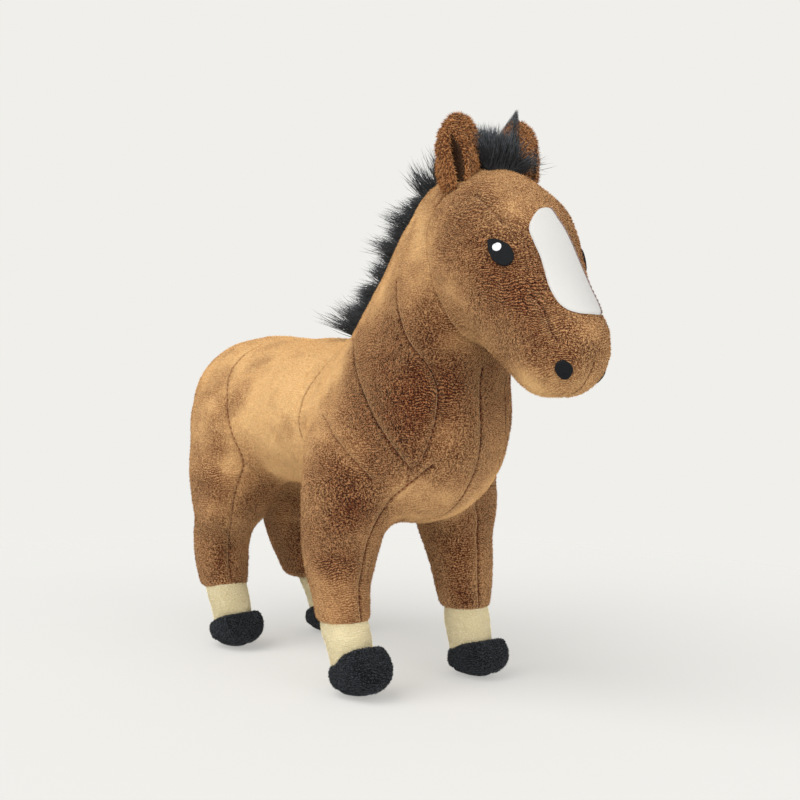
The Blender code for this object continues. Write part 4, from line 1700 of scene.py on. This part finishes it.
@dataclass
class Face:
    """Blaze, eyes with their glints, and nostrils. The head slopes down along its own axis."""

    head: Form
    brow: Point = (105.7, 0.0, 238.0)
    slope: float = 42.0
    eyes: dict[str, Point] = field(default_factory=lambda: {
        "left": (138.6, 28.6, 227.6), "right": (141.2, 27.2, 228.5)})
    nostrils: dict[str, Point] = field(default_factory=lambda: {
        "left": (161.0, 20.0, 172.0), "right": (170.6, 13.8, 174.9)})
    blaze_centre: float = 48.0
    blaze_lift: float = 22.0
    blaze_half: tuple[Point, ...] = (
        (20, -2.5, 2.4), (22, -3.8, 5.2), (26, -5.4, 8.0), (30, -5.2, 9.8), (36, -3.8, 10.6),
        (43, -2, 11.2), (49, -0.8, 12.3), (55, 0, 13.4), (61, 0.3, 13.6), (66, 0.6, 13.2),
        (70, 0.8, 11.6), (73.2, 1.0, 8.8), (75.0, 1.0, 4.0))
    eye_cover: float = 5.6
    nostril_cover: float = 4.0
    edge_radius: float = 0.38
    edge_end: float = 25.5
    eye_mark: Mark = Mark(((-9.2, -0.9), (-7.6, 1.7), (-5.2, 3.5), (-2.2, 4.9), (0.8, 5.3),
                           (3.7, 4.7), (6, 3.1), (7, 0.8), (6.5, -1.8), (4.6, -3.7), (1.6, -4.8),
                           (-1.6, -4.9), (-4.6, -4.2), (-7.2, -2.9)), 0.9, ridge=0.1)
    glint_mark: Mark = Mark(((-5.4, -0.2), (-4.9, 1.6), (-3.4, 2.6), (-1.9, 1.9), (-1.2, 0.3),
                             (-1.9, -1.4), (-3.4, -2.2), (-4.9, -1.6)), 1.35, rings=6)
    nostril_mark: Mark = Mark(((-4.2, 2.9), (-1.6, 4.2), (1.2, 4.1), (3.5, 2.8), (4.6, 0.4),
                               (4.6, -2.5), (2.6, -3.9), (-0.4, -3.7), (-3.4, -2.2),
                               (-4.6, 0.4)), 0.8, ridge=0.1)

    def __post_init__(self) -> None:
        """Finds the directions along the face and off it, in the side view."""
        cos, sin = math.cos(math.radians(self.slope)), math.sin(math.radians(self.slope))
        self.nose, self.lift = np.array([cos, 0, -sin]), np.array([sin, 0, cos])

    def covered(self, points: Array) -> Array:
        """Which points of the skin lie under the marks of the face.

        Args:
            points: places on the skin.

        Returns:
            1.0 under a mark, otherwise 0.0.
        """
        off = points - np.array(self.brow)
        ahead = off @ self.nose
        reach, lean, half = zip(*self.blaze_half)
        blaze = ((ahead > reach[0]) & (ahead < reach[-1]) & (off @ self.lift > 0)
                 & (np.abs(points[:, 1] - np.interp(ahead, reach, lean))
                    < np.interp(ahead, reach, half)))
        near_side = folded(points)
        right = (points[:, 1] < 0)[:, None]
        off_eye = (near_side - self.eyes["right"]) * (0.75, 1.0, 1.0)
        off_nostril = near_side - np.where(right, self.nostrils["right"], self.nostrils["left"])
        eyes = np.linalg.norm(off_eye, axis=1) < self.eye_cover
        nostrils = np.linalg.norm(off_nostril, axis=1) < self.nostril_cover
        return (blaze | eyes | nostrils).astype(float)

    def build(self, wardrobe: Wardrobe) -> None:
        """Makes and dresses the marks of the face.

        Args:
            wardrobe: the finishes.
        """
        for side, way in SIDES.items():
            for part, mark, places, colour in (("eye", self.eye_mark, self.eyes, "black"),
                                               ("eye_glint", self.glint_mark, self.eyes, "white"),
                                               ("nostril", self.nostril_mark, self.nostrils,
                                                "black")):
                centre = settle(self.head, np.array([mirrored(places[side], way)]))[0]
                normal = unit(outward(self.head, centre[None]))[0]
                ahead = unit(self.nose - normal * (self.nose @ normal))
                piece = mark.lay(f"{side}_{part}_stitched", self.head, centre, ahead,
                                 np.cross(normal, ahead) * -way, normal)
                wardrobe.dress(piece, f"{colour} thread", f"{colour}_thread", "head",
                               (f"{side}_{part}",))
        self.build_blaze(wardrobe)

    def build_blaze(self, wardrobe: Wardrobe) -> None:
        """Makes the pale patch on the face and the thread on its left edge.

        Args:
            wardrobe: the finishes.
        """
        left, right = ([(reach - self.blaze_centre, lean + half * way)
                        for reach, lean, half in self.blaze_half] for way in (1, -1))
        mark = Mark((*left, *right[::-1]), 0.4, rings=26)
        centre = np.array(self.brow) + self.nose * self.blaze_centre + self.lift * self.blaze_lift
        piece = mark.lay("blaze_patch", self.head, centre, self.nose, SIDEWAYS, self.lift)
        wardrobe.dress(piece, "pale face fabric", "pale_fabric", "head", ("blaze",))
        rim = mark.outline()
        rim = rim[(rim[:, 1] > 0.5) & (rim[:, 0] < self.edge_end)]
        line = centre + rim[:, :1] * self.nose + rim[:, 1:] * SIDEWAYS
        line = drop(self.head, line, self.lift, 0.35 + 0.25 * np.sin(np.arange(len(line)) * 0.9))
        thread = self.tube("blaze_edge_thread", line, self.edge_radius)
        wardrobe.dress(thread, "edge thread", "black_thread", "head")

    @staticmethod
    def tube(name: str, line: Array, radius: float, sides: int = 6) -> Piece:
        """Runs a closed round thread along a line.

        Args:
            name: the piece's name.
            line: its middle, one row for each ring.
            radius: how thick it is.
            sides: corners of a ring.

        Returns:
            The piece.
        """
        along = unit(np.gradient(line, axis=0))
        across = unit(np.cross(along, (0.3, 0.2, 1.0)))
        rings = rings_round(line, along, across, radius, sides)
        last = len(line) * sides - sides
        caps = np.stack([np.arange(sides)[::-1], np.arange(sides) + last])
        return make_mesh(name, rings.reshape(-1, 3), [tube_faces(len(line), sides), caps])


# Ears


@dataclass(frozen=True)
class EarForm:
    """One ear: a thick leaf, folded so that a deep slit runs up its front."""

    centre: Point
    side: float
    slit_top: float = 9.5
    slit_foot: float = -17.0
    slit_half: float = 2.5

    def distance(self, p: Array) -> Array:
        """Measures the form.

        Args:
            p: places, as Form takes them.

        Returns:
            The distance at each.
        """
        x, y, z = self.centre
        leaf = Ball((x, y, z + 1.0), (7.6, 12.6, 19.8)).distance(p)
        root = Taper((x - 1, y, z - 8), (x - 1.5, y - 1.5 * self.side, z - 22), 8.2,
                     5.6).distance(p)
        return smooth_max(smooth_min(leaf, root, 5.0), -self.slit(p), 1.8)

    def slit(self, p: Array) -> Array:
        """Measures the opening of the fold, a drop that hangs inwards.

        Args:
            p: places, as Form takes them.

        Returns:
            The distance at each, below 0 in the opening.
        """
        x, y, z = self.centre
        share = np.clip((p[2] - z - self.slit_foot) / (self.slit_top - self.slit_foot), 0.0, 1.0)
        middle = y + self.side * (2.6 + 5.4 * share)
        half = self.slit_half * (0.35 + 0.65 * np.sin(share * 2.3) ** 0.8) * (1.0 - share ** 6)
        across = np.abs(p[1] - middle) - half
        ends = np.maximum(self.slit_foot + z - p[2], p[2] - z - self.slit_top)
        return smooth_max(smooth_max(across, (x - 1.5 - p[0]) * 0.8, 1.5), ends, 1.0)


@dataclass
class Ear:
    """One ear, and the lining inside its fold, painted dark as shade."""

    side: str
    cell: float = 1.36
    margin: float = 5.0
    pile: Pile = Pile(length=2.0, width=0.45, density=3.0, lean=0.7, jitter=0.4)
    lining_pile: Pile = Pile(length=0.7, density=1.0)

    def build(self, wardrobe: Wardrobe) -> None:
        """Makes and dresses the ear.

        Args:
            wardrobe: the finishes.
        """
        box = box_of(f"{self.side}_ear")
        form = EarForm(tuple(box.mean(axis=0)), SIDES[self.side])
        skin = wrap(form, box, self.cell, self.margin).refined()
        deep = form.slit(skin.centres().T) < 0.5
        skin.points = rest = settle(form, skin.points)
        relief = 0.35 * Noise(31).at(rest, 6.0) + 0.3 * Noise(32).at(rest, 1.3)
        raised, out = skin.raised(form, np.where(form.slit(rest.T) < 1.2, 0.0, relief))
        # The lining in the deep fold is painted dark as shade.
        for name, chosen, pile, finish, node in (
                ("ear_plush", ~deep, self.pile, "ear plush", "ear"),
                ("ear_fold_lining", deep, self.lining_pile, "ear lining", "ear_lining")):
            piece = pile.cover(f"{self.side}_{name}", raised, chosen, out, 91)
            wardrobe.dress(piece, finish, "brown_plush" if node == "ear" else "lining_plush",
                           f"{self.side}_ear", (f"{self.side}_{node}",))


# Hair


@dataclass
class Fur:
    """Long hairs, gathered in locks, on a dark core."""

    name: str
    seed: int
    gather: float = 0.8
    root_radius: float = 0.24
    joints: int = 4

    def piece(self, core: Skin, roots: Array, ways: Array, lengths: Array,
              pull: Array) -> Piece:
        """Models the hairs and joins them with their core.

        Args:
            core: the skin of the core.
            roots: where each hair leaves it.
            ways: the direction in which it leaves.
            lengths: its length.
            pull: how far its tip is drawn aside, as a vector.

        Returns:
            The piece. Its mark "reach" is how far along its hair a point lies, from 0 to 1.
        """
        random = np.random.default_rng(self.seed)
        count, sides, top = len(roots), 3, self.joints * 3
        share = np.linspace(0.0, 1.0, self.joints + 1)
        wave = random.normal(0.0, self.gather, (count, 3))
        middle = (roots[:, None] + ways[:, None] * (lengths[:, None] * share)[:, :, None]
                  + pull[:, None] * (share ** 1.8)[None, :, None]
                  + wave[:, None] * np.sin(share * math.pi)[None, :, None])
        tangent = unit(np.gradient(middle, axis=1))
        across = unit(np.cross(tangent, unit(random.normal(0.0, 1.0, (count, 3)))[:, None]))
        thick = self.root_radius * (1.0 - 0.8 * share[:-1])
        body = rings_round(middle[:, :-1], tangent[:, :-1], across[:, :-1],
                           thick[:, None, None], sides).reshape(count, top, 3)
        points = np.concatenate([body, middle[:, -1:]], axis=1).reshape(-1, 3)
        tips = np.array([[top - 3 + turn, top - 3 + (turn + 1) % 3, top] for turn in range(sides)])
        step = (np.arange(count) * (top + 1))[:, None, None] + len(core.points)
        faces = [(group + step).reshape(-1, group.shape[1])
                 for group in (tube_faces(self.joints, sides), tips)]
        reach = np.tile(np.append(np.repeat(share[:-1], sides), 1.0), count)
        return make_mesh(self.name, np.vstack([core.points, points]), [core.quads, *faces],
                         {"reach": np.append(np.zeros(len(core.points)), reach)})


@dataclass
class Mane:
    """The strip of long hair down the crest of the neck."""

    form: HorseForm
    hairs: int = 9500
    locks: int = 26
    length: float = 34.0
    hidden_length: float = 3.5
    half_strip: float = 5.5
    core_radius: float = 1.6
    core_swell: float = 1.8
    core_end: float = 2.2
    short_share: float = 0.34
    shortest: float = 0.36
    lock_reach: Pair = (0.62, 1.1)
    lock_lean: float = 0.3
    droop: float = 0.35
    droop_rise: float = 0.6
    droop_spread: float = 0.18
    splay: float = 0.35
    stray: float = 0.16
    gather: float = 0.75
    down: Point = (-0.62, 0.0, -0.35)
    crest: tuple[Pair, ...] = (
        (85, 275), (78, 270), (66, 258), (54, 243), (43, 228), (32, 212), (20, 199), (6, 192),
        (-4, 190))

    def build(self, wardrobe: Wardrobe, nod_span: tuple[Vector, Vector]) -> None:
        """Makes and dresses the mane.

        Args:
            wardrobe: the finishes.
            nod_span: not used.
        """
        random = np.random.default_rng(41)
        down = np.array(self.down)
        line = curve_through([(x, 0.0, z) for x, z in self.crest], 1.0)
        line = settle(self.form, line, rounds=5)
        spots = line[::8]
        radii = self.core_radius + self.core_swell * smooth_step(
            np.linspace(0.0, 1.0, len(spots)), 0.0, self.short_share)
        radii[-1] = self.core_end
        core = wrap(rope(spots, radii), line, 1.6, margin=6)
        place = random.uniform(0.0, 1.0, self.hairs)
        index = (place * (len(line) - 1)).astype(int)
        aside = random.uniform(-1.0, 1.0, self.hairs) * self.half_strip
        roots = settle(self.form, line[index] + np.outer(aside, SIDEWAYS), -0.3)
        out = unit(outward(self.form, roots))
        crest_out = unit(outward(self.form, line))[index]
        lock_at = np.sort(random.uniform(-0.02, 1.02, self.locks))
        lock_side = random.normal(0.0, self.lock_lean, self.locks)
        lock_droop = (self.droop + self.droop_rise * lock_at
                      + random.normal(0.0, self.droop_spread, self.locks))
        lock_reach = random.uniform(*self.lock_reach, self.locks)
        own = np.argmin(np.abs(place[:, None] - lock_at[None])
                        + 0.04 * np.abs(lock_side[None] - aside[:, None] / 8), axis=1)
        end = self.shortest + (1.0 - self.shortest) * smooth_step(place, 0.0, self.short_share)
        spread = 0.25 + 0.82 * random.beta(1.3, 1.6, self.hairs)
        lengths = self.length * lock_reach[own] * spread * end
        ways = unit(crest_out + self.splay * out + down * lock_droop[own][:, None]
                    + np.outer(lock_side[own], SIDEWAYS)
                    + random.normal(0.0, self.stray, (self.hairs, 3)))
        centre = line[np.clip((lock_at[own] * (len(line) - 1)).astype(int), 0, len(line) - 1)]
        pull = self.gather * (centre - roots) * spread[:, None] + down * lengths[:, None] * 0.15
        seen = lengths > self.hidden_length
        mane = Fur("mane_hair", 42).piece(core, roots[seen], ways[seen], lengths[seen], pull[seen])
        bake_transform(mane)
        wardrobe.dress(mane, "black hair", "black_fur", None, ("mane",))


@dataclass
class Forelock:
    """The tuft between the ears, with one tall point beside the left ear."""

    form: HorseForm
    hairs: int = 6500
    length: float = 22.0
    half_width: float = 10.0
    core_radius: float = 2.6
    peak: Point = (100.0, 19.5, 306.0)
    chain: tuple[Point, ...] = ((112, 0, 272), (103, 0, 275), (92, 0, 276))
    tall_from: float = 2.0
    tall_share: float = 0.62
    swept_from: float = 4.0
    swept_share: float = 0.6
    swept_way: Point = (0.25, 1.0, 0.55)

    def build(self, wardrobe: Wardrobe) -> None:
        """Makes and dresses the forelock.

        Args:
            wardrobe: the finishes.
        """
        random = np.random.default_rng(51)
        count = self.hairs
        chain = settle(self.form, curve_through(self.chain, 1.0), rounds=5)
        spots = chain[3::6] - (0.0, 0.0, 0.5)
        core = wrap(rope(spots, np.full(len(spots), self.core_radius)), chain, 1.3, margin=8)
        index = random.integers(0, len(chain), count)
        aside = random.uniform(-1.0, 1.0, count) * self.half_width
        roots = settle(self.form, chain[index] + np.outer(aside, SIDEWAYS), -0.3)
        lengths = self.length * (0.35 + 0.75 * random.beta(1.6, 2.0, count))
        ways = unit(np.stack([random.normal(-0.1, 0.25, count),
                              aside * 0.03 + random.normal(0, 0.2, count), np.ones(count)], axis=1))
        tall = (aside > self.tall_from) & (random.uniform(0.0, 1.0, count) < self.tall_share)
        climb = random.uniform(0.3, 1.0, count) ** 0.8
        tips = (roots + (np.array(self.peak) - roots) * climb[:, None]
                + random.normal(0.0, 1.0, (count, 3)) * (1.15 - climb)[:, None] * (2.0, 2.6, 1.0))
        swept = ((aside > self.swept_from) & ~tall
                 & (random.uniform(0.0, 1.0, count) < self.swept_share))
        swept_ways = unit(np.array(self.swept_way) + random.normal(0, 0.2, (count, 3)))
        ways = np.where(swept[:, None], swept_ways, ways)
        lengths = np.where(tall, np.linalg.norm(tips - roots, axis=1), lengths)
        ways = np.where(tall[:, None], unit(tips - roots), ways)
        tuft = Fur("forelock_hair", 52, gather=0.6).piece(core, roots, ways, lengths,
                                                          np.zeros((count, 3)))
        wardrobe.dress(tuft, "black hair", "black_fur", "head", ("forelock",))


@dataclass
class Tail:
    """The hanging tail of long hair."""

    hairs: int = 6500
    length: float = 27.0
    core_radius: float = 3.4
    core_swell: float = 3.2
    core_taper: float = 2.2
    splay: float = 0.25
    standing: Pair = (0.7, 1.25)

    def build(self, wardrobe: Wardrobe) -> None:
        """Makes and dresses the tail.

        Args:
            wardrobe: the finishes.
        """
        random = np.random.default_rng(61)
        (rear, _, foot), (front, _, top) = box_of("tail")
        spine = curve_through([(front - 1, 0, top - 14), (rear + 22, 0, top - 20),
                               (rear + 13, 0, top - 44), (rear + 10, 0, foot + 32),
                               (rear + 14, 0, foot + 4)], 1.0)
        spots = spine[::7]
        share = np.linspace(0, 1, len(spots))
        radii = (self.core_radius + self.core_swell * np.sin(share * math.pi)
                 - self.core_taper * share ** 2)
        core = wrap(rope(spots, radii), spine, 1.8, margin=9)
        place = random.beta(1.0, 1.5, self.hairs)
        index = (place * (len(spine) - 1)).astype(int)
        lengths = self.length * random.uniform(0.5, 1.05, self.hairs)
        end = index + lengths
        last = np.minimum(end, len(spine) - 1).astype(int)
        tangents = unit(np.gradient(spine, axis=0))
        angle = random.uniform(0, 2 * math.pi, self.hairs)
        turn = np.cos(angle)[:, None] * SIDEWAYS
        out, out_at_tip = (turn + np.cross(tangents[at], SIDEWAYS) * np.sin(angle)[:, None]
                           for at in (index, last))
        radius = np.interp(np.stack([index, last]) / len(spine), share, radii)
        roots = spine[index] + out * radius[0][:, None] * 0.9
        ways = unit(tangents[index] + self.splay * out
                    + random.normal(0, 0.08, (self.hairs, 3)))
        stand = radius[1] * random.uniform(*self.standing, self.hairs)
        tips = (spine[last] + tangents[-1] * np.maximum(end - len(spine), 0.0)[:, None]
                + out_at_tip * stand[:, None] + random.normal(0, 0.8, (self.hairs, 3)))
        pull = tips - roots - ways * lengths[:, None]
        tail = Fur("tail_hair", 62).piece(core, roots, ways, lengths, pull)
        wardrobe.dress(tail, "black hair", "black_fur", "tail", ("tail",))


# Studio


@dataclass(frozen=True)
class Lamp:
    """A broad, far lamp: where it stands as seen from the horse, and how strong and wide it is."""

    name: str
    azimuth: float
    elevation: float
    strength: float
    spread: float


@dataclass(frozen=True)
class Studio:
    """Camera, light and floor. The camera stands where the photographer's did."""

    azimuth: float = 51.9
    elevation: float = 2.75
    distance: float = 731.4
    target: Point = (31.9, 0.0, 153.8)
    roll: float = 1.06
    lens: float = 60.08
    lamps: tuple[Lamp, ...] = (Lamp("key", 2.0, 42.0, 2.4, 70.0),
                               Lamp("fill", 85.0, 4.0, 1.9, 80.0))
    floor_radius: float = 900.0
    floor_rings: int = 24
    floor_spokes: int = 96
    backdrop: Colour = paint(240, 239, 235)
    sky: float = 0.48
    thin: float = 0.42

    @staticmethod
    def bearing(azimuth: float, elevation: float) -> Vector:
        """The direction towards an azimuth and an elevation in degrees."""
        a, e = math.radians(azimuth), math.radians(elevation)
        return Vector((math.sin(a) * math.cos(e), -math.cos(a) * math.cos(e), math.sin(e)))

    @staticmethod
    def place(data: bpy.types.ID, turn: Matrix,
              spot: Sequence[float] = (0.0, 0.0, 0.0)) -> Piece:
        """Adds a camera or a lamp to the scene.

        Args:
            data: the camera or lamp.
            turn: its orientation.
            spot: its place in metres.

        Returns:
            Its object.
        """
        obj = bpy.data.objects.new(data.name, data)
        bpy.context.scene.collection.objects.link(obj)
        obj.matrix_world = Matrix.Translation(spot) @ turn.to_4x4()
        return obj

    def camera(self) -> None:
        """Makes the camera."""
        back = self.bearing(self.azimuth, self.elevation)
        data = bpy.data.cameras.new("camera")
        data.lens, data.sensor_width = self.lens, 36.0
        data.clip_start, data.clip_end = 0.01, 20.0
        turn = (-back).to_track_quat("-Z", "Y").to_matrix() @ Matrix.Rotation(
            math.radians(self.roll), 3, "Z")
        bpy.context.scene.camera = self.place(
            data, turn, (Vector(self.target) + back * self.distance) * MM)

    def lights(self) -> None:
        """Makes a broad key from above and the camera's left, a fill, and an even sky."""
        for lamp in self.lamps:
            data = bpy.data.lights.new(lamp.name, "SUN")
            data.energy, data.angle = lamp.strength, math.radians(lamp.spread)
            way = self.bearing(lamp.azimuth, lamp.elevation)
            self.place(data, way.to_track_quat("Z", "Y").to_matrix())
        world = bpy.data.worlds.new("even sky")
        bpy.context.scene.world = world
        world.use_nodes = True
        world.node_tree.nodes.clear()
        bench = Bench(world.node_tree)
        ray = bench.outputs(bench.node("LightPath", {}))
        by_gloss = bench.maths("MAXIMUM", ray["Is Glossy Ray"], ray["Is Transmission Ray"])
        seen = bench.maths("MAXIMUM", ray["Is Camera Ray"], by_gloss)
        sky = bench.add("Background", {"Color": (1.0, 1.0, 1.0, 1.0), "Strength": self.sky})
        wall = bench.add("Background", {"Color": self.backdrop, "Strength": 1.0})
        bench.node("OutputWorld", {"Surface": bench.add("MixShader", {0: seen, 1: sky, 2: wall})})

    def floor(self) -> None:
        """Makes a pale round floor that fades into the backdrop."""
        rings, spokes = self.floor_rings, self.floor_spokes
        radii = self.floor_radius * (np.arange(1, rings + 1) / rings) ** 1.6
        angles = np.linspace(0, 2 * math.pi, spokes, endpoint=False)
        rim = np.stack([np.outer(radii, np.cos(angles)), np.outer(radii, np.sin(angles)),
                        np.zeros((rings, spokes))], axis=2).reshape(-1, 3)
        floor = make_mesh("floor", np.vstack([np.zeros((1, 3)), rim]), disc_faces(rings, spokes))
        material, bench, out = new_material("floor")
        place = bench.mark("rest", "Vector")
        far = bench.add("VectorMath", {0: place}, "Value", operation="LENGTH")
        fade = far.span(self.floor_radius * 0.3, self.floor_radius * 0.8, self.thin, 1.0)
        colour = bench.mix(bench.noise(place, 0.01) * 0.02, paint(232, 231, 227),
                           paint(224, 223, 219))
        matt = bench.add("BsdfDiffuse", {"Color": colour})
        clear = bench.add("BsdfTransparent", {})
        bench.feed(out, {"Surface": bench.add("MixShader", {0: fade, 1: matt, 2: clear})})
        floor.data.materials.append(material)

    def build(self) -> None:
        """Makes the whole studio."""
        self.camera()
        self.lights()
        self.floor()
        bpy.context.scene.view_settings.view_transform = "Standard"


def main() -> None:
    """Builds the studio and every sub-assembly."""
    logging.basicConfig(level=logging.INFO, format="%(message)s")
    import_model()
    Studio().build()
    wardrobe = Wardrobe()
    form = HorseForm()
    body, face = PlushBody(form), Face(form.head)
    body.build(wardrobe, face)
    for limb in form.limbs:
        Foot(limb).build(wardrobe)
    face.build(wardrobe)
    for side in SIDES:
        Ear(side).build(wardrobe)
    Mane(form).build(wardrobe, body.nod_span)
    Forelock(form).build(wardrobe)
    Tail().build(wardrobe)


if __name__ == "__main__":
    main()
